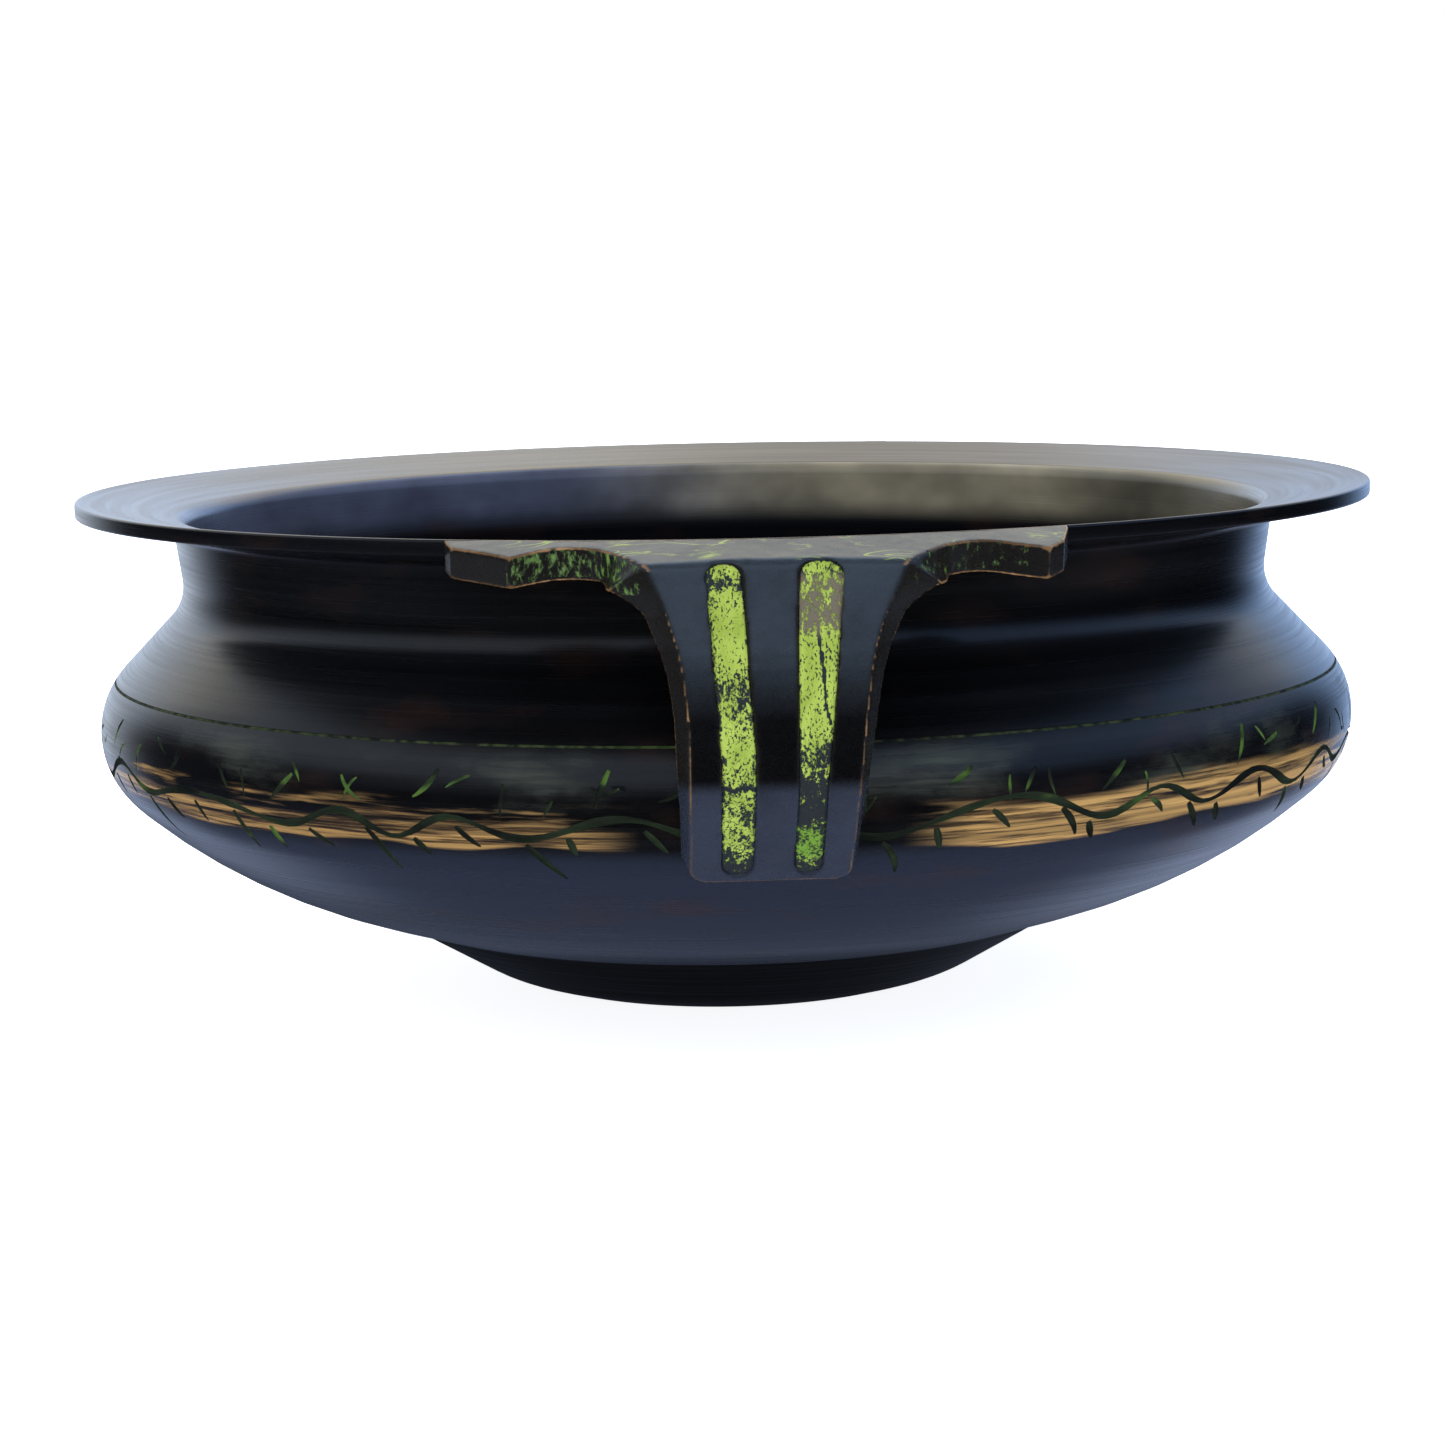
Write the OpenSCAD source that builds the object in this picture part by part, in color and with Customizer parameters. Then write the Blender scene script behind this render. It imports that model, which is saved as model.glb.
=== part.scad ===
// Urli: a wide cast brass bowl with a sloping flange rim, a pinched neck, a
// rounded belly, a brazed-on foot and two cast T-shaped handles, each with
// wings along the rim and a grooved strap that comes down to the belly.
// Z is up. The origin is the centre of the face that the bowl rests on. The
// front handle points to -Y and the rear one to +Y.

/* [Bowl] */
// Radius of the rim's outer edge
rim_r = 200; // [190:1:210]
// Height of the rim's top edge above the table
rim_z = 154; // [150:1:158]
// Thickness of the rim at its outer edge
rim_edge = 4.5; // [3.5:0.1:5]
// Thickness of the cast wall
wall = 4; // [3:0.1:5]

/* [Foot] */
// Outer radius of the face that the bowl rests on
rest_r = 63; // [60:1:66]
// Inner radius of the foot ring
foot_bore_r = 50; // [44:1:54]

/* [Handles] */
// Fall of a wing's top face outwards from the rim, in degrees
wing_fall = 16.5; // [14:0.5:18]
// Thickness of a wing at the rim
wing_t = 9.4; // [8:0.1:11]
// Thickness of the strap, front to back
strap_t = 8; // [7:0.1:9]
// Depth of the grooves in the strap
groove_depth = 1.8; // [1.2:0.1:2.4]
// How far a groove's fill lies below the strap's face
fill_drop = 0.3; // [0.2:0.05:0.6]

/* [Belly line] */
// Height of the incised line around the belly
line_z = 98.2; // [96:0.1:100]
// Width and depth of the incised line
line_w = 0.9; // [0.6:0.1:1.4]

/* [Hidden] */

patina = "#1b1e24";
bare_metal = "#8a6a3a";
green_fill = "#a9c83e";

round_fn = 240;
arc_step = 9; // degrees of arc between two points of a rounded corner
past = 20;    // length by which a cutting shape runs past what it cuts

// --- outlines -------------------------------------------------------------
// An outline is a list of corners [x, y, radius], and radius 0 is a sharp one.

function unit(v) = v / norm(v);
function xy(v) = [v[0], v[1]];
function right_normal(v) = [v[1], -v[0]];
function cross2(a, b) = a[0] * b[1] - a[1] * b[0];
function wrap(a) = a > 180 ? a - 360 : a < -180 ? a + 360 : a;
function angle_of(v) = atan2(v[1], v[0]);

function arc(centre, r, start, sweep) =
    let (n = max(1, ceil(abs(sweep) / arc_step)))
    [for (i = [0 : n])
        let (a = start + sweep * i / n) centre + r * [cos(a), sin(a)]];

function corner(before, at, after) =
    at[2] == 0 ? [xy(at)] :
    let (
        u = unit(xy(before) - xy(at)),
        v = unit(xy(after) - xy(at)),
        half = acos(u * v) / 2,
        centre = xy(at) + unit(u + v) * at[2] / sin(half),
        reach = at[2] / tan(half),
        start = angle_of(xy(at) + u * reach - centre),
        end = angle_of(xy(at) + v * reach - centre)
    )
    arc(centre, at[2], start, wrap(end - start));

// Points of an open outline, its two ends left as they are
function rounded(path) =
    let (last = len(path) - 1)
    [for (i = [0 : last])
        each i == 0 || i == last ? [xy(path[i])]
            : corner(path[i - 1], path[i], path[i + 1])];

// The same open outline moved to its right by t
function moved_right(path, t) =
    let (
        last = len(path) - 1,
        along = [for (i = [0 : last - 1]) unit(xy(path[i + 1]) - xy(path[i]))]
    )
    [for (i = [0 : last])
        let (
            a = along[max(i - 1, 0)],
            b = along[min(i, last - 1)],
            na = right_normal(a),
            nb = right_normal(b),
            p = xy(path[i]) + t * (na + nb) / (1 + na * nb),
            turn = cross2(a, b),
            r = path[i][2]
        )
        [p[0], p[1], r == 0 ? 0 : turn < 0 ? r - t : r + t]];

function reversed(list) = [for (i = [len(list) - 1 : -1 : 0]) list[i]];

// --- bowl -----------------------------------------------------------------
// Corners as [radius, height, corner radius], from the rim down to the middle

neck_top = [170.4, 144.4, 2.5];
waist = [167.3, 122.1, 15];
belly = [207, 80.8, 27];
underside = [158.4, 38.7, 164];
bottom_z = 8;
bottom = [63.1, bottom_z, 60];

bowl_outside = [
    [rim_r, rim_z - rim_edge, 0], neck_top, waist, belly, underside, bottom,
    [0, bottom_z, 0]
];

inside_path = moved_right(bowl_outside, wall);
lip_r = inside_path[1][0];
lip_slope = 0.183;
lip_z = rim_z - (rim_r - lip_r) * lip_slope;
lip_round = 5;
bowl_inside = concat(
    [[rim_r, rim_z, 0], [lip_r, lip_z, lip_round]],
    [for (i = [2 : len(inside_path) - 1]) inside_path[i]]
);

// Height and radius along the straight flank between waist and belly
flank = unit(xy(belly) - xy(waist));
line_reach = (waist[1] - line_z) / -flank[1];
line_at = xy(waist) + flank * line_reach;

module turned(points) {
    rotate_extrude($fn = round_fn) polygon(points);
}

// The bowl without its hollow, which everything outside is seated on
module bowl_solid() {
    turned(concat([[0, lip_z], [lip_r, lip_z], [rim_r, rim_z]],
        rounded(bowl_outside)));
}

// A ring with a square section that lies across the flank at the line
module line_ring(width, depth, proud) {
    turned([for (c = [[-1, -depth], [1, -depth], [1, proud], [-1, proud]])
        line_at + flank * c[0] * width / 2 - right_normal(flank) * c[1]]);
}

module bowl_shell() {
    color(patina)
    difference() {
        turned(concat(rounded(bowl_outside), reversed(rounded(bowl_inside))));
        line_ring(line_w, line_w, past / 10);
    }
}

module belly_line_inlay() {
    color(green_fill) line_ring(line_w, line_w, -line_w / 3);
}

// --- foot -----------------------------------------------------------------

foot_top = [106.9, 22.1, 0];
foot_outside = [foot_top, [75.5, 3.6, 41], [rest_r, 0, 0]];

module foot_ring() {
    color(patina)
    difference() {
        turned(concat(rounded(foot_outside),
            [[foot_bore_r, 0], [foot_bore_r, foot_top[1] + bottom_z]]));
        bowl_solid();
    }
}

// Bead in the corner between the foot's inner wall and the bowl's bottom
braze_leg = 3.5;
module foot_braze() {
    color(bare_metal)
    turned([[foot_bore_r, bottom_z], [foot_bore_r, bottom_z - braze_leg],
        [foot_bore_r - braze_leg, bottom_z]]);
}

// --- handles --------------------------------------------------------------
// Modelled pointing to -Y. A side outline holds [distance from the bowl's
// axis, height], and a plan outline holds [sideways, distance from the axis].

seat_r = 190; // inner radius of the ledge that each wing has under the rim
wing_end_r = 222;
wing_slope = tan(wing_fall);
ledge_z = rim_z - wing_t;

left_wing = [
    [-78, 170, 0], [-84, 182.6, 0], [-82.4, 187.7, 0], [-67.1, 200.2, 0],
    [-53.5, 196.2, 16], [-34.5, 213.6, 5], [-28, 213.6, 0]
];
right_wing = [
    [77, 170, 0], [80.4, 185.2, 0], [78, 194.6, 0], [73.2, 200.9, 0],
    [55, 196.4, 16], [34.5, 213.6, 5], [28, 213.6, 0]
];

// The strap's front face, from inside the wings over the ridge to its lower end
strap_front = [
    [204, 148, 0], [214.4, 149.6, 3.5], [221.6, 112, 60], [214.6, 87, 30],
    [194, 62, 0]
];
strap_bottom_z = 62.5;

// Half of the strap's outline as seen from the front
strap_side = [
    [36.5, 150, 0], [25.6, 119, 55], [22.1, strap_bottom_z, 3],
    [0, strap_bottom_z, 0]
];

// The front face below the ridge, carried straight up past it
ridge = xy(strap_front[1]);
face_top = ridge - unit(xy(strap_front[2]) - ridge) * past / 2;
strap_face = concat([[face_top[0], face_top[1], 0]],
    [for (i = [2 : len(strap_front) - 1]) strap_front[i]]);

module across(width, points) {
    rotate([90, 0, -90])
    translate([0, 0, -width / 2])
    linear_extrude(height = width) polygon(points);
}

module from_front(points) {
    rotate([90, 0, 0])
    linear_extrude(height = wing_end_r + past) polygon(points);
}

module wings() {
    intersection() {
        linear_extrude(height = rim_z + past)
        polygon([for (p = concat(rounded(left_wing), reversed(rounded(right_wing))))
            [p[0], -p[1]]]);
        turned([
            [rim_r, rim_z], [wing_end_r, rim_z - (wing_end_r - rim_r) * wing_slope],
            [wing_end_r, ledge_z - (wing_end_r - rim_r) * wing_slope],
            [rim_r, ledge_z], [seat_r, ledge_z], [seat_r, rim_z - rim_edge]
        ]);
    }
}

// Side outline of the strap, or of a layer of it between two depths
function layer(from, to) = concat(
    rounded(moved_right(strap_face, from)),
    reversed(rounded(moved_right(strap_face, to))));

strap_section = concat(
    rounded(strap_front),
    reversed(rounded(moved_right(
        concat([[ridge[0], ridge[1], 0]],
            [for (i = [2 : len(strap_front) - 1]) strap_front[i]]),
        strap_t))));

module strap() {
    half = rounded(strap_side);
    intersection() {
        across(2 * strap_side[0][0], strap_section);
        from_front(concat(half, [for (p = reversed(half)) if (p[0] > 0) [-p[0], p[1]]]));
    }
}

// Grooves: [sideways at the top, at the bottom, width at the top, at the bottom]
left_groove = [-12.1, -9.4, 9.6, 8.6];
right_groove = [11.9, 8.9, 11.4, 7.8];
groove_top_z = 151;
groove_bottom_z = 65.5;

module groove_outline(g) {
    from_front(concat(
        arc([g[0], groove_top_z - g[2] / 2], g[2] / 2, 0, 180),
        arc([g[1], groove_bottom_z + g[3] / 2], g[3] / 2, 180, 180)));
}

module groove(g) {
    intersection() {
        across(strap_side[0][0] * 2, layer(-past / 2, groove_depth));
        groove_outline(g);
    }
}

module inlay(g) {
    color(green_fill)
    intersection() {
        across(strap_side[0][0] * 2, layer(fill_drop, groove_depth));
        groove_outline(g);
        wings_and_strap();
    }
}

module wings_and_strap() {
    union() {
        wings();
        strap();
    }
}

module handle() {
    color(patina)
    difference() {
        wings_and_strap();
        bowl_solid();
        groove(left_groove);
        groove(right_groove);
    }
}

// Bead under the flange along the inner edge of the ledge
braze_half_w = 70;
module rim_braze() {
    color(bare_metal)
    difference() {
        intersection() {
            turned([[seat_r, ledge_z], [seat_r, rim_z - rim_edge],
                [seat_r - 2 * braze_leg, rim_z - rim_edge]]);
            translate([-braze_half_w, -rim_r, 0])
            cube([2 * braze_half_w, rim_r / 2, rim_z]);
        }
        bowl_solid();
    }
}

// Bead in the notch between the strap's back and the belly
notch_z = 70;
notch_h = 12;
notch_half_w = 20;
module belly_braze() {
    color(bare_metal)
    difference() {
        intersection() {
            across(2 * notch_half_w, concat([[neck_top[0], strap_bottom_z]],
                [[neck_top[0], rim_z]],
                rounded(moved_right(strap_face, strap_t / 2))));
            translate([-notch_half_w, -wing_end_r, notch_z])
            cube([2 * notch_half_w, wing_end_r, notch_h]);
        }
        bowl_solid();
        strap();
    }
}

module turned_to_rear() {
    rotate([0, 0, 180]) children();
}

bowl_shell();
belly_line_inlay();
foot_ring();
foot_braze();
handle();  // front_handle
inlay(left_groove);  // front_handle_left_inlay
inlay(right_groove);  // front_handle_right_inlay
rim_braze();  // front_handle_rim_braze
belly_braze();  // front_handle_belly_braze
turned_to_rear() handle();  // rear_handle
turned_to_rear() inlay(left_groove);  // rear_handle_left_inlay
turned_to_rear() inlay(right_groove);  // rear_handle_right_inlay
turned_to_rear() rim_braze();  // rear_handle_rim_braze
turned_to_rear() belly_braze();  // rear_handle_belly_braze
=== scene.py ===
"""A cast brass urli bowl with a dark patina, modelled around its CAD frame."""

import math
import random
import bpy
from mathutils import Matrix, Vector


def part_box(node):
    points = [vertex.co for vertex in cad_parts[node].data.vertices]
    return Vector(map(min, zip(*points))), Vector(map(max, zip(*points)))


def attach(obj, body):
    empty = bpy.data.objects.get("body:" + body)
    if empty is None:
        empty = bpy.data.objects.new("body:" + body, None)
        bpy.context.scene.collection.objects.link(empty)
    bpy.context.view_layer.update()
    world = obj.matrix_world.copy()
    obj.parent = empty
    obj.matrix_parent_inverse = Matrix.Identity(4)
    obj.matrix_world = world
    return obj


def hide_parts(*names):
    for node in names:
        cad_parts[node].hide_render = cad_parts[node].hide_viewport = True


bl_info = {
    "name": "Urli Bowl",
    "version": (1, 0, 0),
    "blender": (4, 5, 0),
    "location": "View3D > Sidebar > Urli",
    "description": "Builds a cast brass urli bowl, its two grooved handles and a plain studio",
    "category": "Add Mesh",
}

import bpy
import numpy as np
from bpy.props import FloatProperty, FloatVectorProperty, IntProperty, PointerProperty
from bpy.types import Operator, Panel, PropertyGroup
from mathutils import Matrix, Vector, noise

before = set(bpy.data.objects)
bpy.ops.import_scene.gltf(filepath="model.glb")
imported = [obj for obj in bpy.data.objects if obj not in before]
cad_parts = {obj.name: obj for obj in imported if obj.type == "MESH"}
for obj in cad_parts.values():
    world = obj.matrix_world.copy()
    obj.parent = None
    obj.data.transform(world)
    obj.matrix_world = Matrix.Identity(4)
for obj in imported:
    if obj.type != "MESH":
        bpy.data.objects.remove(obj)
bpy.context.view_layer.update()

MM = 0.001
BODY = "root"
SHELL_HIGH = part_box("bowl_shell")[1]
RIM_R = SHELL_HIGH.x / MM
RIM_Z = SHELL_HIGH.z / MM
REST_R = 63.0


# --------------------------------------------------------------------------
# Outlines: lists of corners (across, up, radius) in millimetres

NECK_TOP = (170.4, 144.4, 2.5)
WAIST = (167.3, 122.1, 15.0)
BELLY = (207.0, 80.8, 27.0)
UNDERSIDE = (158.4, 38.7, 164.0)
BOTTOM_Z = 8.0
BOTTOM = (63.1, BOTTOM_Z, 60.0)
RIM_EDGE = 4.5
LIP_SLOPE = 0.183
LIP_ROUND = 5.0
LINE_Z = 98.2
LINE_W = 0.9
ARC_STEP = math.radians(4.0)


def unit(x, y):
    length = math.hypot(x, y)
    return x / length, y / length


def corner_points(before, at, after):
    """The arc that rounds one corner, or the corner itself where its radius is nothing."""
    x, y, radius = at
    if radius <= 0:
        return [(x, y)]
    ux, uy = unit(before[0] - x, before[1] - y)
    vx, vy = unit(after[0] - x, after[1] - y)
    half = math.acos(max(-1.0, min(1.0, ux * vx + uy * vy))) / 2
    wx, wy = unit(ux + vx, uy + vy)
    cx, cy = x + wx * radius / math.sin(half), y + wy * radius / math.sin(half)
    reach = radius / math.tan(half)
    start = math.atan2(y + uy * reach - cy, x + ux * reach - cx)
    end = math.atan2(y + vy * reach - cy, x + vx * reach - cx)
    sweep = (end - start + math.pi) % (2 * math.pi) - math.pi
    count = max(2, math.ceil(abs(sweep) / ARC_STEP))
    return [
        (cx + radius * math.cos(start + sweep * i / count),
         cy + radius * math.sin(start + sweep * i / count))
        for i in range(count + 1)
    ]


def rounded(corners):
    """Points of an open outline with its corners rounded."""
    points = [corners[0][:2]]
    for before, at, after in zip(corners, corners[1:], corners[2:]):
        points += corner_points(before, at, after)
    return points + [corners[-1][:2]]


def moved_right(corners, t):
    """The same open outline moved to its right by t."""
    along = [unit(b[0] - a[0], b[1] - a[1]) for a, b in zip(corners, corners[1:])]
    moved = []
    for i, (x, y, radius) in enumerate(corners):
        ax, ay = along[max(i - 1, 0)]
        bx, by = along[min(i, len(along) - 1)]
        scale = t / (1 + ax * bx + ay * by)
        turn = ax * by - ay * bx
        moved.append((
            x + (ay + by) * scale,
            y - (ax + bx) * scale,
            0 if radius <= 0 else radius - t if turn < 0 else radius + t,
        ))
    return moved


def spaced(points, gap):
    """The outline with points added so that none are further apart than gap."""
    out = [points[0]]
    for (ax, ay), (bx, by) in zip(points, points[1:]):
        count = max(1, math.ceil(math.hypot(bx - ax, by - ay) / gap))
        out += [(ax + (bx - ax) * i / count, ay + (by - ay) * i / count)
                for i in range(1, count + 1)]
    return out


def outside_corners():
    return [
        (RIM_R, RIM_Z - RIM_EDGE, 0.8), NECK_TOP, WAIST, BELLY, UNDERSIDE, BOTTOM,
        (0.0, BOTTOM_Z, 0.0),
    ]


def outside_point(z):
    """Radius and outward normal (radial, up) of the belly at a height."""
    points = rounded([(RIM_R, RIM_Z - RIM_EDGE, 0)] + outside_corners()[1:])
    for (ar, az), (br, bz) in zip(points, points[1:]):
        if bz <= z <= az and az > bz:
            share = (az - z) / (az - bz)
            nr, nz = unit(az - bz, br - ar)
            return ar + (br - ar) * share, nr, nz
    raise ValueError(f"the outline has no height {z}")


# --------------------------------------------------------------------------
# Modelling by operators


def deselect():
    if bpy.context.object and bpy.context.object.mode != "OBJECT":
        bpy.ops.object.mode_set(mode="OBJECT")
    bpy.ops.object.select_all(action="DESELECT")


def choose(piece):
    deselect()
    piece.select_set(True)
    bpy.context.view_layer.objects.active = piece


def drawn(name, points):
    """A wire through the points, left in edit mode with all of it selected."""
    deselect()
    bpy.ops.mesh.primitive_plane_add(size=MM)
    piece = bpy.context.object
    piece.name = piece.data.name = name
    bpy.ops.object.mode_set(mode="EDIT")
    bpy.ops.mesh.select_all(action="SELECT")
    bpy.ops.mesh.merge(type="CENTER")
    bpy.ops.transform.translate(value=points[0])
    for before, after in zip(points, points[1:]):
        bpy.ops.mesh.extrude_region_move(
            TRANSFORM_OT_translate={"value": after - before})
    bpy.ops.mesh.select_all(action="SELECT")
    return piece


def turned(name, section, steps):
    """A piece turned about Z from its half section, [(radius, height)] in millimetres."""
    piece = drawn(name, [Vector((r * MM, 0, z * MM)) for r, z in section])
    bpy.ops.mesh.spin(steps=steps, angle=2 * math.pi, center=(0, 0, 0), axis=(0, 0, 1))
    bpy.ops.mesh.select_all(action="SELECT")
    bpy.ops.mesh.remove_doubles(threshold=0.01 * MM)
    bpy.ops.mesh.normals_make_consistent(inside=False)
    bpy.ops.object.mode_set(mode="OBJECT")
    return piece


def plate(name, outline, thickness, top=0.0):
    """A flat plate cut to the outline, [(across, along)], and extruded downwards."""
    piece = drawn(name, [Vector((x * MM, y * MM, top * MM)) for x, y in outline])
    bpy.ops.mesh.edge_face_add()
    bpy.ops.mesh.extrude_region_move(
        TRANSFORM_OT_translate={"value": (0, 0, -thickness * MM)})
    bpy.ops.mesh.select_all(action="SELECT")
    bpy.ops.mesh.normals_make_consistent(inside=False)
    bpy.ops.object.mode_set(mode="OBJECT")
    return piece


def apply_modifier(piece, kind, **settings):
    choose(piece)
    modifier = piece.modifiers.new(kind.title(), kind)
    for key, value in settings.items():
        setattr(modifier, key, value)
    bpy.ops.object.modifier_apply(modifier=modifier.name)


def cut(piece, tool):
    """Cuts the piece with the tool, which is used up."""
    apply_modifier(piece, "BOOLEAN", object=tool, operation="DIFFERENCE", solver="MANIFOLD")
    bpy.data.objects.remove(tool)


def smooth(piece, angle):
    choose(piece)
    bpy.ops.object.shade_smooth_by_angle(angle=math.radians(angle))


def points_of(piece):
    co = np.empty(len(piece.data.vertices) * 3)
    piece.data.vertices.foreach_get("co", co)
    return co.reshape(-1, 3)


def normals_of(piece):
    normals = np.empty(len(piece.data.vertices) * 3)
    piece.data.vertex_normals.foreach_get("vector", normals)
    return normals.reshape(-1, 3)


def set_points(piece, co):
    """Moves the points, and turns the faces outwards again if that mirrored them."""
    piece.data.vertices.foreach_set("co", np.asarray(co, float).ravel())
    piece.data.update()
    choose(piece)
    bpy.ops.object.mode_set(mode="EDIT")
    bpy.ops.mesh.select_all(action="SELECT")
    bpy.ops.mesh.normals_make_consistent(inside=False)
    bpy.ops.object.mode_set(mode="OBJECT")


def attribute(piece, name, values):
    """A number at each vertex that the piece's material reads."""
    layer = piece.data.attributes.new(name, "FLOAT", "POINT")
    layer.data.foreach_set("value", np.asarray(values, np.float32))


def finished(piece, slot, replaced, *materials):
    """Gives the piece its materials and its place on the body."""
    piece.data.materials.clear()
    for material in materials:
        piece.data.materials.append(material)
    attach(piece, BODY)
    if replaced:
        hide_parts(replaced)


# --------------------------------------------------------------------------
# Materials


def linear(colour):
    """An sRGB hex colour as linear RGBA."""
    channels = [int(colour[i:i + 2], 16) / 255 for i in (1, 3, 5)]
    return tuple(c / 12.92 if c <= 0.04045 else ((c + 0.055) / 1.055) ** 2.4
                 for c in channels) + (1.0,)


def started(name):
    """A new material's node tree, its shader and its object coordinates."""
    material = bpy.data.materials.new(name)
    material.use_nodes = True
    tree = material.node_tree
    return material, tree, tree.nodes["Principled BSDF"], add(tree, "TexCoord", out="Object")


def add(tree, kind, links=(), out=0, **settings):
    """Adds a node with its settings and its links, {input: value or output}; gives an output."""
    node = tree.nodes.new("ShaderNode" + kind)
    for key, value in settings.items():
        setattr(node, key, value)
    join(tree, node, links)
    return node.outputs[out]


def join(tree, node, links):
    for key, value in dict(links).items():
        if isinstance(value, bpy.types.NodeSocket):
            tree.links.new(value, node.inputs[key])
        else:
            node.inputs[key].default_value = value


def per_mm(*sizes):
    """The scale that makes a pattern repeat every so many millimetres along each axis."""
    return [1 / (size * MM) for size in sizes]


# heights in metres: a lane's bottom edge, its full strength from and to, and its top edge
LOWER_LANE = (0.0691, 0.0704, 0.0751, 0.0773)
UPPER_LANE = (0.0760, 0.0775, 0.0802, 0.0836)


def rubbed_band(tree, place, across, height):
    """How far the belly is rubbed to brass, and the streaks in it. It has a solid lower lane
    and a patchy upper one, which wander by a few millimetres and are fuller towards +X."""
    wander_at = add(tree, "Mapping", {0: place, "Scale": per_mm(70, 70, 400)})
    wander = add(tree, "TexNoise", {"Vector": wander_at, "Scale": 1, "Detail": 2})
    wander = add(tree, "MapRange", {0: wander, 1: 0.3, 2: 0.7, 3: -0.0025, 4: 0.0025})
    level = add(tree, "Math", {0: height, 1: wander})
    lanes = []
    for bottom, low, high, top in (LOWER_LANE, UPPER_LANE):
        rise = add(tree, "MapRange", {0: level, 1: bottom, 2: low},
                   interpolation_type="SMOOTHSTEP")
        fall = add(tree, "MapRange", {0: level, 1: top, 2: high},
                   interpolation_type="SMOOTHSTEP")
        lanes.append(add(tree, "Math", {0: rise, 1: fall}, operation="MULTIPLY"))
    patch_at = add(tree, "Mapping", {0: place, "Scale": per_mm(45, 45, 4)})
    patch = add(tree, "TexNoise", {"Vector": patch_at, "Scale": 1, "Detail": 4})
    patch = add(tree, "Math", {0: across, 1: 0.6, 2: patch}, operation="MULTIPLY_ADD")
    patch = add(tree, "MapRange", {0: patch, 1: 0.42, 2: 0.56}, interpolation_type="SMOOTHSTEP")
    streak_at = add(tree, "Mapping", {0: place, "Scale": per_mm(42, 42, 1.3)})
    streak = add(tree, "TexNoise", {"Vector": streak_at, "Scale": 1, "Detail": 6,
                                    "Roughness": 0.62})
    streak = add(tree, "MapRange", {0: streak, 1: 0.33, 2: 0.58},
                 interpolation_type="SMOOTHSTEP")
    upper = add(tree, "Math", {0: lanes[1], 1: patch}, operation="MULTIPLY")
    rubbed = add(tree, "Math", {0: lanes[0], 1: upper}, operation="MAXIMUM")
    # the band stops short of the straps, leaving the metal dark beside them
    side = add(tree, "Math", {0: across}, operation="ABSOLUTE")
    clear = add(tree, "MapRange", {0: side, 1: 0.034, 2: 0.060},
                interpolation_type="SMOOTHSTEP")
    for share in (streak, clear):
        rubbed = add(tree, "Math", {0: rubbed, 1: share}, operation="MULTIPLY")
    return rubbed, streak


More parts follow.
